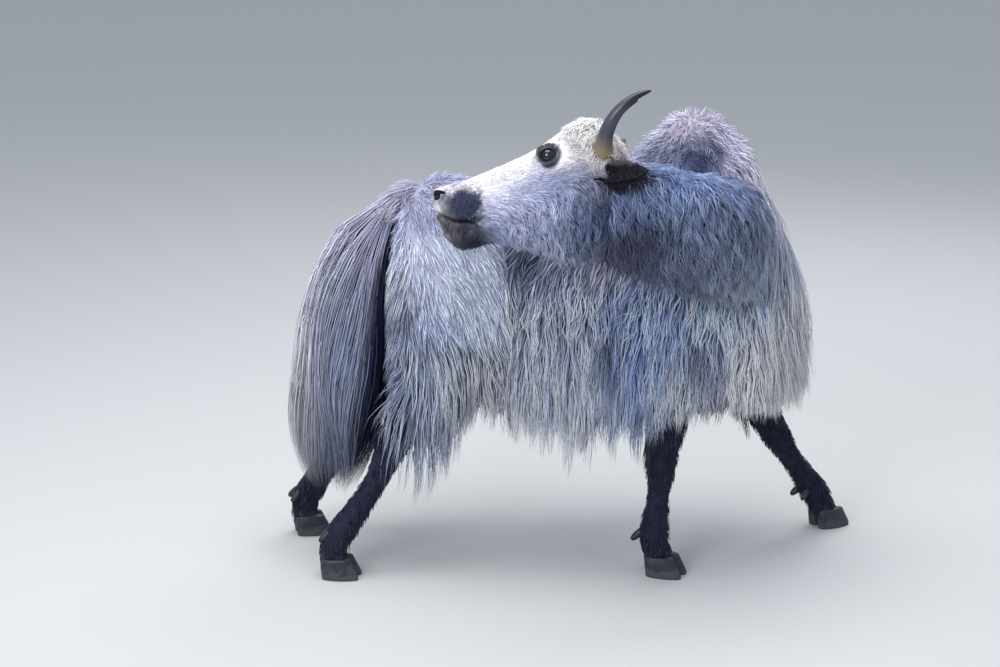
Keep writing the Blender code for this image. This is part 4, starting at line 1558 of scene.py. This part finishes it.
    def head_style(self, places: np.ndarray, normals: np.ndarray, rng: np.random.Generator) -> dict:
        """Hair of the head: short and flat on the face, wavy on the cheek, long at the throat.

        Args:
            places: Roots of all tufts.
            normals: The skin's directions there.
            rng: Source of random numbers.

        Returns:
            The values of each tuft by name.
        """
        local = HEAD.into(places)
        ahead, up = local[:, 0], local[:, 1]
        count = len(places)
        nose = ramp(ahead, 0.10, 0.20)
        cheek = ramp(up, -0.055, -0.12) * ramp(ahead, 0.235, 0.150)
        throat = ramp(up, -0.15, -0.20) * ramp(ahead, 0.20, 0.10)
        crown = ramp(up, 0.010, 0.030) * ramp(ahead, -0.015, -0.07)
        poll = ramp(ahead, -0.06, -0.11) * ramp(up, -0.10, -0.04)
        length = 0.020 - 0.009 * nose
        ring = np.zeros(count)
        for hand in Hand:
            ring = np.maximum(ring, ramp(EyeSocket(hand).ring(local), 1.35, 0.85))
        muzzle = np.sqrt(((ahead - 0.255) / 0.055) ** 2 + ((up + 0.055) / 0.060) ** 2)
        muzzle = ramp(muzzle, 1.25, 0.85)
        chin = ramp(up - mouth_line(ahead), -0.003, -0.014) * ramp(ahead, 0.205, 0.235)
        for share, reach in ((cheek, 0.058), (throat, 0.112), (crown, 0.040), (poll, 0.048), (ring, 0.0065),
                             (muzzle, 0.0065), (chin, 0.019)):
            length = length * (1 - share) + reach * share
        axes = HEAD.axes()
        backward = -axes[0] * 1.0 - np.array((0.0, 0.0, 1.0)) * 0.10
        cheek_flow = -axes[0] * 0.62 - np.array((0.0, 0.0, 1.0)) * 0.85
        hanging = np.array((-0.10, -0.25, -1.0))
        crown_flow = axes[0] * 0.15 + axes[1] * 0.2 + axes[2] * np.sign(local[:, 2:3]) * 0.9
        flow = np.tile(backward, (count, 1))
        flow = flow * (1 - cheek)[:, None] + cheek_flow * cheek[:, None]
        flow = flow * (1 - throat)[:, None] + hanging * throat[:, None]
        flow = flow * (1 - crown)[:, None] + (crown_flow + normals * 0.4) * crown[:, None]
        flow = flow * (1 - chin)[:, None] + (hanging + axes[0] * 0.3) * chin[:, None]
        poll_flow = axes[0] * 0.45 - axes[1] * 0.9 + axes[2] * np.sign(local[:, 2:3]) * 0.3
        flow = flow * (1 - poll)[:, None] + poll_flow * poll[:, None]
        long = np.clip(cheek + throat, 0.0, 1.0)
        lift = 0.12 + 0.10 * long - 0.04 * crown + 0.26 * poll + 0.22 * chin
        fall = 0.10 + 0.42 * long + 0.15 * poll + 0.10 * crown
        depth = (0.0015 + 0.016 * long + 0.004 * crown + 0.012 * poll) * rng.random(count)
        wave = 0.0003 + 0.0070 * long + 0.0030 * crown + 0.0050 * poll + 0.0010 * chin
        pitch = 0.062 - 0.022 * np.clip(crown + poll, 0.0, 1.0)
        clump = 0.30 + 0.48 * long + 0.30 * crown + 0.25 * chin
        width = 0.0017 + 0.0012 * long + 0.0007 * crown
        return {"length": length, "width": width, "flow": flow, "lift": lift, "fall": fall, "depth": depth,
                "wave": wave, "pitch": pitch, "clump": clump}

    def grow(self, roots: Roots, steps: int) -> np.ndarray:
        """Grows each tuft along the lie of the coat, down by its weight and never into the skin.

        Args:
            roots: The tufts.
            steps: Lengths in each tuft.

        Returns:
            Places along each tuft, with the root first.
        """
        count = len(roots.places)
        line = np.empty((count, steps + 1, 3))
        line[:, 0] = roots.places - roots.normals * 0.0015
        direction = unit(roots.flow + roots.normals * roots.lift[:, None])
        stride = (roots.length / steps)[:, None]
        gravity = np.array((0.0, 0.0, -1.0))
        for step in range(steps):
            ahead = line[:, step] + direction * stride
            hits = [self.tree.find_nearest(place) for place in ahead.tolist()]
            nearest = np.array([tuple(hit[0]) for hit in hits])
            facing = np.array([tuple(hit[1]) for hit in hits])
            gap = dots(ahead - nearest, facing)
            share = (step + 1) / steps
            wanted = (roots.depth * min(1.0, share * 1.6) + 0.0012)[:, None]
            ahead = ahead + facing * np.clip(wanted - gap, 0.0, None) * (gap > -0.05)
            line[:, step + 1] = line[:, step] + unit(ahead - line[:, step]) * stride
            direction = unit(line[:, step + 1] - line[:, step])
            pull = (roots.fall * 0.9 / steps * 3.0)[:, None]
            direction = unit(direction + gravity * pull)
        return line

    def waved(self, roots: Roots, line: np.ndarray, rng: np.random.Generator) -> np.ndarray:
        """Draws neighbouring tufts together into locks and waves them.

        Args:
            roots: The tufts.
            line: Places along each tuft.
            rng: Source of random numbers.

        Returns:
            The places moved.
        """
        count, points = line.shape[:2]
        guides = rng.random(count) < 1.0 / 11.0
        guides[0] = True
        leaders = np.flatnonzero(guides)
        tree = KDTree(len(leaders))
        for number, index in enumerate(leaders):
            tree.insert(roots.places[index], number)
        tree.balance()
        nearest = leaders[[tree.find(place)[1] for place in roots.places.tolist()]]
        share = np.linspace(0.0, 1.0, points)[None, :, None]
        same = (np.abs(roots.length - roots.length[nearest]) < 0.6 * roots.length)[:, None, None]
        draw = roots.clump[:, None, None] * share ** 1.3 * same
        offset = line[:, :1] - line[nearest][:, :1]
        target = line[nearest] + offset * (1 - share * 0.75)
        line = line * (1 - draw) + target * draw
        along = unit(np.gradient(line, axis=1))
        swing = unit(np.cross(along, roots.normals[:, None, :]))
        phase = (rng.random(count) * 2 * math.pi)[nearest] + rng.normal(0.0, 0.5, count)
        travel = share[:, :, 0] * roots.length[:, None]
        turn = 2 * math.pi * travel / roots.pitch[:, None] + phase[:, None]
        reach = (roots.wave[:, None] * (0.6 + 0.8 * rng.random(count))[:, None]
                 * np.minimum(share[:, :, 0] * 2.2, 1.0))
        bend = (np.sin(turn) * reach)[:, :, None]
        return line + swing * bend + roots.normals[:, None, :] * (np.cos(turn) * reach * 0.4)[:, :, None]

    def mesh_piece(self, name: str, line: np.ndarray, roots: Roots, root_tint: np.ndarray,
                   tip_tint: np.ndarray, rng: np.random.Generator) -> bpy.types.Object:
        """Joins tufts into one mesh; each is a closed three-sided blade that tapers to a point.

        Args:
            name: Name of the piece.
            line: Places along each tuft.
            roots: The tufts.
            root_tint: Colour at each root.
            tip_tint: Colour at each tip.
            rng: Source of random numbers.

        Returns:
            The piece's object, still measured from the trunk's line.
        """
        count, points = line.shape[:2]
        rings = points - 1
        along = unit(np.gradient(line, axis=1))[:, :rings]
        normals = np.broadcast_to(roots.normals[:, None, :], along.shape)
        side = unit(np.cross(along, normals + 1e-4))
        rise = np.cross(side, along)
        share = np.linspace(0.0, 1.0, points)[None, :rings, None]
        taper = (0.75 + 0.5 * np.sin(math.pi * share ** 0.7)) * (1 - share ** 2.2)
        half = roots.width[:, None, None] * 0.5 * taper
        base = line[:, :rings]
        ring = np.stack([base - side * half, base + side * half, base + rise * half * 0.85], axis=2)
        verts = np.concatenate([ring.reshape(count, rings * 3, 3), line[:, -1:]], axis=1)
        per = rings * 3 + 1
        k = np.arange(rings - 1)[:, None] * 3
        quads = []
        for a, b in ((0, 1), (1, 2), (2, 0)):
            quads.append(np.hstack([k + b, k + a, k + a + 3, k + b + 3]))
        quads = np.concatenate(quads) if rings > 1 else np.empty((0, 4), int)
        last = (rings - 1) * 3
        tip = per - 1
        tris = np.array([[0, 1, 2], [last + 1, last, tip], [last + 2, last + 1, tip], [last, last + 2, tip]])
        start = (np.arange(count) * per)[:, None, None]
        quad_corners = (quads[None] + start).reshape(-1)
        tri_corners = (tris[None] + start).reshape(-1)
        corners = np.concatenate([quad_corners, tri_corners])
        sizes = np.concatenate([np.full(len(quads) * count, 4), np.full(len(tris) * count, 3)])
        mesh = bpy.data.meshes.new(name)
        mesh.vertices.add(count * per)
        mesh.vertices.foreach_set("co", verts.astype(np.float32).ravel())
        mesh.loops.add(len(corners))
        mesh.loops.foreach_set("vertex_index", corners.astype(np.int32))
        mesh.polygons.add(len(sizes))
        mesh.polygons.foreach_set("loop_start", np.concatenate([[0], np.cumsum(sizes)[:-1]]).astype(np.int32))
        mesh.update(calc_edges=True)
        ring_share = np.repeat(share[0, :, 0], 3)
        vert_share = np.append(ring_share, 1.0)
        vert_side = np.append(np.tile((0.0, 1.0, 0.5), rings), 0.5)
        lot = rng.random(count)
        blend = (vert_share[None, :] ** 0.8)[:, :, None]
        tint = root_tint[:, None, :] * (1 - blend) + tip_tint[:, None, :] * blend
        tint = np.concatenate([tint, np.ones((count, per, 1))], axis=2)
        mark(mesh, "tint", tint)
        lock = np.stack([
            vert_side[None, :] * roots.width[:, None],
            vert_share[None, :] * roots.length[:, None],
            np.broadcast_to(lot[:, None], (count, per)),
        ], axis=2)
        mark(mesh, "lock", lock)
        patch = np.stack([vert_side - 0.5, vert_share - 0.5], axis=1) * BAKE_PATCH
        uvs = (roots.uvs[:, None, :] + patch[None]).reshape(-1, 2)[corners]
        layer = mesh.uv_layers.new(name=BAKE_MAP)
        layer.data.foreach_set("uv", uvs.astype(np.float32).ravel())
        mesh.validate()
        return new_object(name, mesh)

    def pieces(self, name: str, roots: Roots, steps: int, finish: Finish, rng: np.random.Generator,
               line: np.ndarray = None, tints: tuple = None) -> None:
        """Makes and places the pieces of one stretch of the coat, each under PIECE_TRIANGLES triangles.

        Args:
            name: Name of the stretch.
            roots: Its tufts.
            steps: Lengths in each tuft.
            finish: Finish of the hair.
            rng: Source of random numbers.
            line: Places along each tuft, where they are already known.
            tints: Root and tip colours, where they don't follow the markings.
        """
        if line is None:
            line = self.waved(roots, self.grow(roots, steps), rng)
        if tints is None:
            tints = self.tints(roots, rng)
        each = 6 * (steps - 1) + 4
        pieces = math.ceil(len(roots.places) * each / PIECE_TRIANGLES)
        for number in range(pieces):
            mask = np.arange(len(roots.places)) % pieces == number
            label = f"coat_{name}_{number + 1}" if pieces > 1 else f"coat_{name}"
            part = self.mesh_piece(label, line[mask], roots.chosen(mask), tints[0][mask], tints[1][mask], rng)
            place_piece(part, SLOTS.get(name.split("_")[0], "coat"), finish)

    def tints(self, roots: Roots, rng: np.random.Generator) -> tuple:
        """Root and tip colours: darker and bluer at the root as painted shade deep in the coat, paler and a
        little browner at the tip.

        Args:
            roots: The tufts.
            rng: Source of random numbers.

        Returns:
            Colours of the roots and of the tips.
        """
        colour, _ = self.markings.at(roots.places, roots.regions)
        count = len(colour)
        face = roots.regions == Region.HEAD.value
        lock = 0.56 * mottle(roots.places, 0.012, 17.0) + 0.26 * mottle(roots.places, 0.030, 19.0)
        lock = lock * np.where(face, 0.40, 1.0)
        noise = rng.normal(0.0, 0.22, count) * np.where(face & (roots.length < 0.055), 0.45, 1.0)
        tuft = np.clip(1.04 + lock + noise, 0.35, 1.9)[:, None]
        grey = colour.mean(axis=1, keepdims=True) * np.array((0.98, 1.0, 1.10))
        colour = colour + (grey - colour) * np.clip((tuft - 0.85) * 0.75, -0.20, 0.60)
        # Darker, bluer roots of the long hair are painted shade deep in the coat between the locks.
        long = ramp(roots.length, 0.03, 0.12)[:, None]
        cool = np.where(face[:, None], (1.10, 1.10, 1.14), (0.80, 0.92, 1.12))
        root = colour * tuft * (0.84 - 0.56 * long) * cool
        warm = np.array((1.05, 1.0, 0.92))
        tip = colour * tuft * (1.06 + 0.36 * long) * (1 - long + warm * long)
        brown = ((roots.regions == Region.NECK.value) | face)[:, None]
        low = ramp(HEAD.into(roots.places)[:, 1], -0.17, -0.21)[:, None]
        tip = np.where(brown, tip * (1 - 0.45 * low) + np.array((0.13, 0.10, 0.09)) * 0.45 * low, tip)
        return np.clip(root, 0.0, 0.98), np.clip(tip, 0.0, 0.98)

    def tail(self, finish: Finish, rng: np.random.Generator) -> None:
        """Long straight strands of the tail, from the dock down to its pointed end.

        Args:
            finish: Finish of the hair.
            rng: Source of random numbers.
        """
        envelope = smooth_rows((
            (0.02, 0.35, 1.01, 0.034), (0.01, 0.425, 0.968, 0.05), (-0.004, 0.498, 0.862, 0.088),
            (-0.014, 0.544, 0.72, 0.118), (-0.02, 0.566, 0.56, 0.13), (-0.022, 0.578, 0.41, 0.134),
            (-0.022, 0.583, 0.29, 0.115), (-0.022, 0.586, 0.2, 0.075), (-0.022, 0.587, 0.168, 0.04),
        ), 8)
        count = self.tail_strands
        steps = 8
        spans = np.linalg.norm(np.diff(envelope[:, :3], axis=0), axis=1)
        length_of = np.concatenate([[0.0], np.cumsum(spans)])
        whole = length_of[-1]
        start = whole * (0.02 + 0.50 * rng.random(count) ** 1.15)
        finish_at = whole * (1.0 - 0.24 * rng.random(count) ** 1.6)
        finish_at = np.minimum(finish_at, start + 0.66 + 0.1 * rng.random(count))
        angle = rng.random(count) * 2 * math.pi
        reach = 0.25 + 0.75 * np.sqrt(rng.random(count))
        share = np.linspace(0.0, 1.0, steps + 1)[None, :]
        travel = start[:, None] + (finish_at - start)[:, None] * share
        spread = np.minimum((travel - start[:, None]) / 0.16, 1.0)
        spread = 0.22 + (reach[:, None] - 0.22) * (spread * spread * (3 - 2 * spread))
        centre, ahead = (
            np.stack([np.interp(at, length_of, envelope[:, axis]) for axis in range(3)], axis=2)
            for at in (travel, travel + 0.01)
        )
        radius = np.interp(travel, length_of, envelope[:, 3])
        tangent = unit(ahead - centre + np.array((0.0, 0.0, -1e-4)))
        left = np.array((1.0, 0.0, 0.0)) - tangent * tangent[:, :, :1]
        left = unit(left)
        behind = np.cross(tangent, left)
        drift = angle[:, None] + 0.25 * np.sin(travel * 9.0 + angle[:, None] * 3.0) * share
        around = left * np.cos(drift)[:, :, None] + behind * np.sin(drift)[:, :, None]
        line = centre + around * (radius * spread)[:, :, None]
        hits = [self.tree.find_nearest(place) for place in line[:, 0].tolist()]
        faces = self.faces[[hit[2] for hit in hits]]
        uvs = self.face_uvs[[hit[2] for hit in hits]].mean(axis=1)
        line[:, 0] = np.array([tuple(hit[0]) for hit in hits]) - self.vert_normals[faces[:, 0]] * 0.001
        outward = np.where(np.abs(around[:, 3]) > 0, around[:, 3], 1e-6)
        roots = Roots(line[:, 0], unit(outward), uvs, np.full(count, Region.TAIL.value))
        roots.length = (finish_at - start)
        roots.width = 0.0030 * (0.7 + 0.6 * rng.random(count))
        roots.clump = np.full(count, 0.30)
        roots.wave = np.full(count, 0.0026)
        roots.pitch = np.full(count, 0.23)
        line = self.waved(roots, line, rng)
        rear = (line[:, 5, 1] - centre[:, 5, 1]) / np.maximum(radius[:, 5], 1e-3)
        rear = np.clip(0.5 + 0.5 * rear, 0.0, 1.0)
        shade = self.markings
        colour = np.tile(shade.tail_middle, (count, 1))
        # The rear side: partly paler hair, partly painted light.
        colour = shade.over(colour, ramp(rear, 0.55, 0.90) * 0.9, shade.tail_outer_pale_and_lit)
        # The side facing the haunch is painted shade.
        colour = shade.over(colour, ramp(rear, 0.40, 0.16), shade.tail_inner_shade)
        dock = ramp(start / whole, 0.16, 0.02) * 0.7 * ramp(rear, 0.1, 0.3)
        colour = shade.over(colour, dock, shade.tail_top)
        lock = 0.34 * mottle(line[:, 4], 0.020, 23.0)
        colour = colour * np.clip(1.0 + lock + rng.normal(0.0, 0.26, count), 0.35, 1.8)[:, None]
        # Strands nearer the tail's middle are darker: painted shade inside the switch.
        colour = colour * (0.45 + 0.55 * reach)[:, None]
        tips = np.clip(colour * np.array((0.86, 0.84, 0.80)), 0, 0.98)
        self.pieces("tail", roots, steps, finish, rng, line, (np.clip(colour, 0, 0.98), tips))

    def build(self, obj: bpy.types.Object) -> None:
        """Builds every piece of the coat.

        Args:
            obj: The skin, still measured from the trunk's line.
        """
        rng = np.random.default_rng(SEED)
        self.measure(obj)
        self.dress_skin(obj)
        roots = self.sample(rng)
        self.style(roots, rng)
        y = roots.places[:, 1]
        hair = HairFinish("long_hair")
        fine = HairFinish("short_hair", roughness=0.66, sheen=0.03, streaks=0.38)
        trunk = roots.regions == Region.TRUNK.value
        stretches = {
            "rump": (trunk & (y > 0.115)) | (roots.regions == Region.TAIL.value),
            "barrel": trunk & (y <= 0.115) & (y > -0.245),
            "chest": trunk & (y <= -0.245),
            "neck": roots.regions == Region.NECK.value,
            "head": roots.regions == Region.HEAD.value,
            "ears": roots.regions == Region.EAR.value,
            "legs": roots.regions == Region.LEG.value,
        }
        for name, mask in stretches.items():
            for label, low, high, steps in self.bands:
                band = mask & (roots.length >= low) & (roots.length < high)
                if band.sum() > 40:
                    finish = fine if label == "short" else hair
                    self.pieces(f"{name}_{label}", roots.chosen(band), steps, finish, rng)
        self.tail(hair, rng)


# Horns, eyes and hooves


@dataclass
class Horn:
    """One horn, rising outwards from the brow and sweeping back to a fine tip."""

    hand: Hand
    length: float
    sweep: float
    base: tuple = (-0.128, -0.050, 0.068)
    radius: float = 0.0215
    tip_radius: float = 0.0022
    lean: float = math.radians(4.0)
    spread: float = math.radians(58.0)
    turn_in: float = math.radians(6.0)
    steps: int = 48

    def build(self, finish: Finish) -> bpy.types.Object:
        """Builds the horn with a flared collar at its root.

        Args:
            finish: The horn's finish.

        Returns:
            The placed piece.
        """
        ahead, up, out = self.base
        stride = self.length / self.steps
        path = []
        for index in range(self.steps + 1):
            t = index / self.steps
            lean = self.lean - math.radians(self.sweep) * t ** 1.15 - HEAD.slope
            spread = self.spread * (1.0 - t) ** 1.2 - self.turn_in
            radius = self.radius * (1.0 - t) ** 0.62 + self.tip_radius
            collar = 0.0042 * math.exp(-((t - 0.11) / 0.07) ** 2)
            collar += 0.0006 * math.sin(t * 95.0) * math.exp(-t * 9.0)
            path.append((HEAD.point(ahead, up, self.hand.value * out), radius + collar, t))
            ahead += stride * math.cos(spread) * math.sin(lean)
            up += stride * math.cos(spread) * math.cos(lean)
            out += stride * math.sin(spread)
        places = [place for place, _, _ in path]
        rings = []
        for index, (place, radius, _) in enumerate(path):
            tangent = tangent_at(places, index)
            across = tangent.cross(Vector((0.0, 1.0, 0.0))).normalized()
            rise = across.cross(tangent).normalized()
            turns = [2 * math.pi * k / 28 for k in range(28)]
            rings.append([place + (across * math.cos(a) + rise * math.sin(a)) * radius for a in turns])
        shape = bmesh.new()
        loft(shape, rings)
        bmesh.ops.poke(shape, faces=[face for face in shape.faces if len(face.verts) > 4])
        tree = KDTree(len(places))
        for index, place in enumerate(places):
            tree.insert(place, index)
        tree.balance()
        name = f"horn_sheath_{self.hand.name.lower()}"
        obj = object_from(name, shape)
        verts = vertex_array(obj.data)
        course = []
        for place in verts.tolist():
            middle, index, _ = tree.find(place)
            arm = (Vector(place) - middle).normalized()
            course.append((arm.x, arm.y, index / self.steps))
        mark(obj.data, "course", np.array(course))
        return place_piece(obj, "horn", finish, f"horn_{self.hand.name.lower()}")


@dataclass
class Eye:
    """One eyeball with a slightly raised cornea."""

    hand: Hand
    cornea: float = 0.0009

    def build(self, finish: Finish) -> bpy.types.Object:
        """Builds the eyeball and marks where it looks.

        Args:
            finish: The eye's finish.

        Returns:
            The placed piece.
        """
        socket = EyeSocket(self.hand)
        shape = bmesh.new()
        bmesh.ops.create_icosphere(shape, subdivisions=5, radius=socket.radius)
        obj = object_from(f"eyeball_{self.hand.name.lower()}", shape)
        local = vertex_array(obj.data)
        gaze, width, height = (axis @ HEAD.axes() for axis in socket.axes())
        line = unit(local)
        facing = line @ gaze
        local = local + line * (self.cornea * ramp(facing, 0.72, 0.90))[:, None]
        middle = HEAD.out_of(socket.centre()[None])[0]
        obj.data.vertices.foreach_set("co", (local + middle).astype(np.float32).ravel())
        look = np.stack([line @ width, line @ height, facing], axis=1)
        mark(obj.data, "gaze", look)
        obj.data.update()
        return place_piece(obj, "eye", finish, f"eye_{self.hand.name.lower()}")


@dataclass
class Foot:
    """The two claws and two dewclaws of one foot."""

    leg: str
    middle: tuple
    fetlock: tuple
    angle: float
    inward: float
    coronet: float = 0.0554
    claw_length: float = 0.098
    claw_half_width: float = 0.0205
    spacing: float = 0.0235
    dewclaw_length: float = 0.026
    dewclaw_radius: float = 0.010

    def directions(self) -> tuple:
        """Level directions to the toe and out to the side."""
        turn = math.radians(self.angle)
        toe = Vector((-math.sin(turn), -math.cos(turn), 0.0))
        return toe, Vector((-toe.y, toe.x, 0.0))

    def claw(self, label: str, turn: float, finish: Finish) -> bpy.types.Object:
        """Builds one claw: flat sole, sloping wall and a soft edge at the coronet.

        Args:
            label: Inner or outer.
            turn: Which way it lies from the foot's middle.
            finish: The hoof's finish.

        Returns:
            The placed piece.
        """
        toe, out = self.directions()
        centre = Vector(self.middle) + out * (turn * self.spacing) + toe * 0.010
        levels = smooth_rows((
            (0.0, 0.485, 0.88, 0.012), (0.003, 0.499, 0.96, 0.012), (0.012, 0.5, 1.0, 0.011),
            (0.034, 0.455, 0.98, 0.004), (self.coronet - 0.004, 0.405, 0.92, 0.0),
            (self.coronet, 0.380, 0.86, 0.0),
        ), 3)
        rings = []
        for height, half_length, wide, shift in levels:
            ring = []
            for k in range(32):
                angle = 2 * math.pi * k / 32
                along = self.claw_length * half_length * signed_power(math.cos(angle), 0.85)
                across = self.claw_half_width * wide * signed_power(math.sin(angle), 0.80)
                across *= 1.0 - 0.30 * max(math.cos(angle), 0.0)
                base = centre + toe * (shift + along) + out * across
                ring.append(Vector((base.x, base.y, max(height, 0.0))))
            rings.append(ring)
        shape = bmesh.new()
        loft(shape, rings)
        obj = object_from(f"hoof_{self.leg}_{label}", shape)
        return place_piece(obj, "hoof", finish, f"claw_{self.leg}_{label}")

    def dewclaw(self, label: str, turn: float, finish: Finish) -> bpy.types.Object:
        """Builds one dewclaw, a blunt button behind the fetlock.

        Args:
            label: Inner or outer.
            turn: Which way it lies from the foot's middle.
            finish: The hoof's finish.

        Returns:
            The placed piece.
        """
        toe, out = self.directions()
        along = (toe * -0.75 + out * (0.35 * turn) - Vector((0.0, 0.0, 0.75))).normalized()
        root = Vector(self.fetlock) - Vector((0.0, 0.0, 0.004)) - toe * 0.036 + out * (0.020 * turn)
        across = along.cross(Vector((0.0, 0.0, 1.0))).normalized()
        rise = across.cross(along).normalized()
        rings = []
        stations = ((-0.4, 0.95), (0.2, 1.0), (0.70, 0.82), (0.95, 0.45), (1.0, 0.15))
        for reach, share in smooth_rows(stations, 3):
            turns = [2 * math.pi * k / 16 for k in range(16)]
            centre = root + along * (self.dewclaw_length * reach)
            radius = self.dewclaw_radius * share
            rings.append([centre + (across * math.cos(a) + rise * math.sin(a)) * radius for a in turns])
        shape = bmesh.new()
        loft(shape, rings)
        obj = object_from(f"spur_{self.leg}_{label}", shape)
        return place_piece(obj, "hoof", finish, f"dewclaw_{self.leg}_{label}")

    def build(self, finish: Finish) -> None:
        """Builds the claws and dewclaws.

        Args:
            finish: The hoof's finish.
        """
        for label, turn in (("inner", self.inward), ("outer", -self.inward)):
            self.claw(label, turn, finish)
            self.dewclaw(label, turn, finish)


FEET = (
    Foot("foreleg_right", (-0.205, -0.290, 0.0), (-0.200, -0.276, 0.118), 22.0, -1.0),
    Foot("foreleg_left", (0.216, -0.778, 0.0), (0.198, -0.744, 0.118), -28.0, -1.0),
    Foot("hindleg_right", (-0.225, 0.580, 0.0), (-0.212, 0.560, 0.120), 8.0, 1.0),
    Foot("hindleg_left", (0.154, 0.680, 0.0), (0.162, 0.670, 0.120), -12.0, 1.0),
)
FLESH_NODES = (
    "rump", "barrel", "chest", "neck_lower", "neck_upper", "tail_dock", "tail_switch", "head", "ear_left",
    "ear_right", "foreleg_left", "foreleg_right", "hindleg_left", "hindleg_right",
)


@dataclass
class Studio:
    """Pale floor, soft lights and the camera of the picture."""

    target: tuple = (0.0, 0.135, 0.6136)
    distance: float = 7.508
    elevation: float = math.radians(14.0)
    focal: float = 100.0
    floor_size: float = 60.0

    def build(self) -> None:
        """Sets up the floor, the camera, the lamps and the air's light."""
        shape = bmesh.new()
        bmesh.ops.create_grid(shape, x_segments=4, y_segments=4, size=self.floor_size / 2)
        floor = object_from("studio_floor", shape)
        floor.data.materials.append(FloorFinish("floor").material())
        back = Vector((-math.cos(self.elevation), 0.0, math.sin(self.elevation)))
        view = bpy.data.cameras.new("picture")
        view.lens = self.focal
        view.sensor_width = 36.0
        camera = bpy.data.objects.new("picture", view)
        camera.location = Vector(self.target) + OFFSET + back * self.distance
        camera.rotation_euler = (-back).to_track_quat("-Z", "Y").to_euler()
        bpy.context.scene.collection.objects.link(camera)
        bpy.context.scene.camera = camera
        middle = Vector((0.0, 0.0, 0.7))
        for name, place, size, power, colour in (
            ("overhead", (-0.4, 0.6, 4.6), 3.4, 190.0, (1.0, 0.97, 0.94)),
            ("window", (-4.6, 2.4, 2.8), 2.2, 150.0, (0.94, 0.97, 1.0)),
            ("rim", (3.4, -1.6, 3.4), 3.0, 60.0, (1.0, 1.0, 1.0)),
        ):
            lamp = bpy.data.lights.new(name, "AREA")
            lamp.size = size
            lamp.energy = power
            lamp.color = colour
            obj = bpy.data.objects.new(name, lamp)
            obj.location = place
            obj.rotation_euler = (middle - Vector(place)).to_track_quat("-Z", "Y").to_euler()
            bpy.context.scene.collection.objects.link(obj)
        world = bpy.data.worlds.new("soft_air")
        world.use_nodes = True
        air = world.node_tree.nodes["Background"]
        air.inputs["Color"].default_value = (0.82, 0.90, 1.0, 1.0)
        air.inputs["Strength"].default_value = 0.70
        bpy.context.scene.world = world
        bpy.context.scene.view_settings.view_transform = "Standard"


def main() -> None:
    """Builds the yak around its frame and reports each piece."""
    logging.basicConfig(level=logging.INFO, format="%(message)s")
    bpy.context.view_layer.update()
    Studio().build()
    skin = Skin()
    obj = skin.build()
    Coat(skin, Markings()).build(obj)
    place_piece(obj, "coat", SkinFinish("skin"), *FLESH_NODES)
    for horn in (Horn(Hand.LEFT, 0.240, 82.0), Horn(Hand.RIGHT, 0.225, 72.0)):
        horn.build(HornFinish("horn_sheath"))
        Eye(horn.hand).build(EyeFinish("wet_eye"))
    for foot in FEET:
        foot.build(HoofFinish("hoof_wall"))


if __name__ == "__main__":
    main()
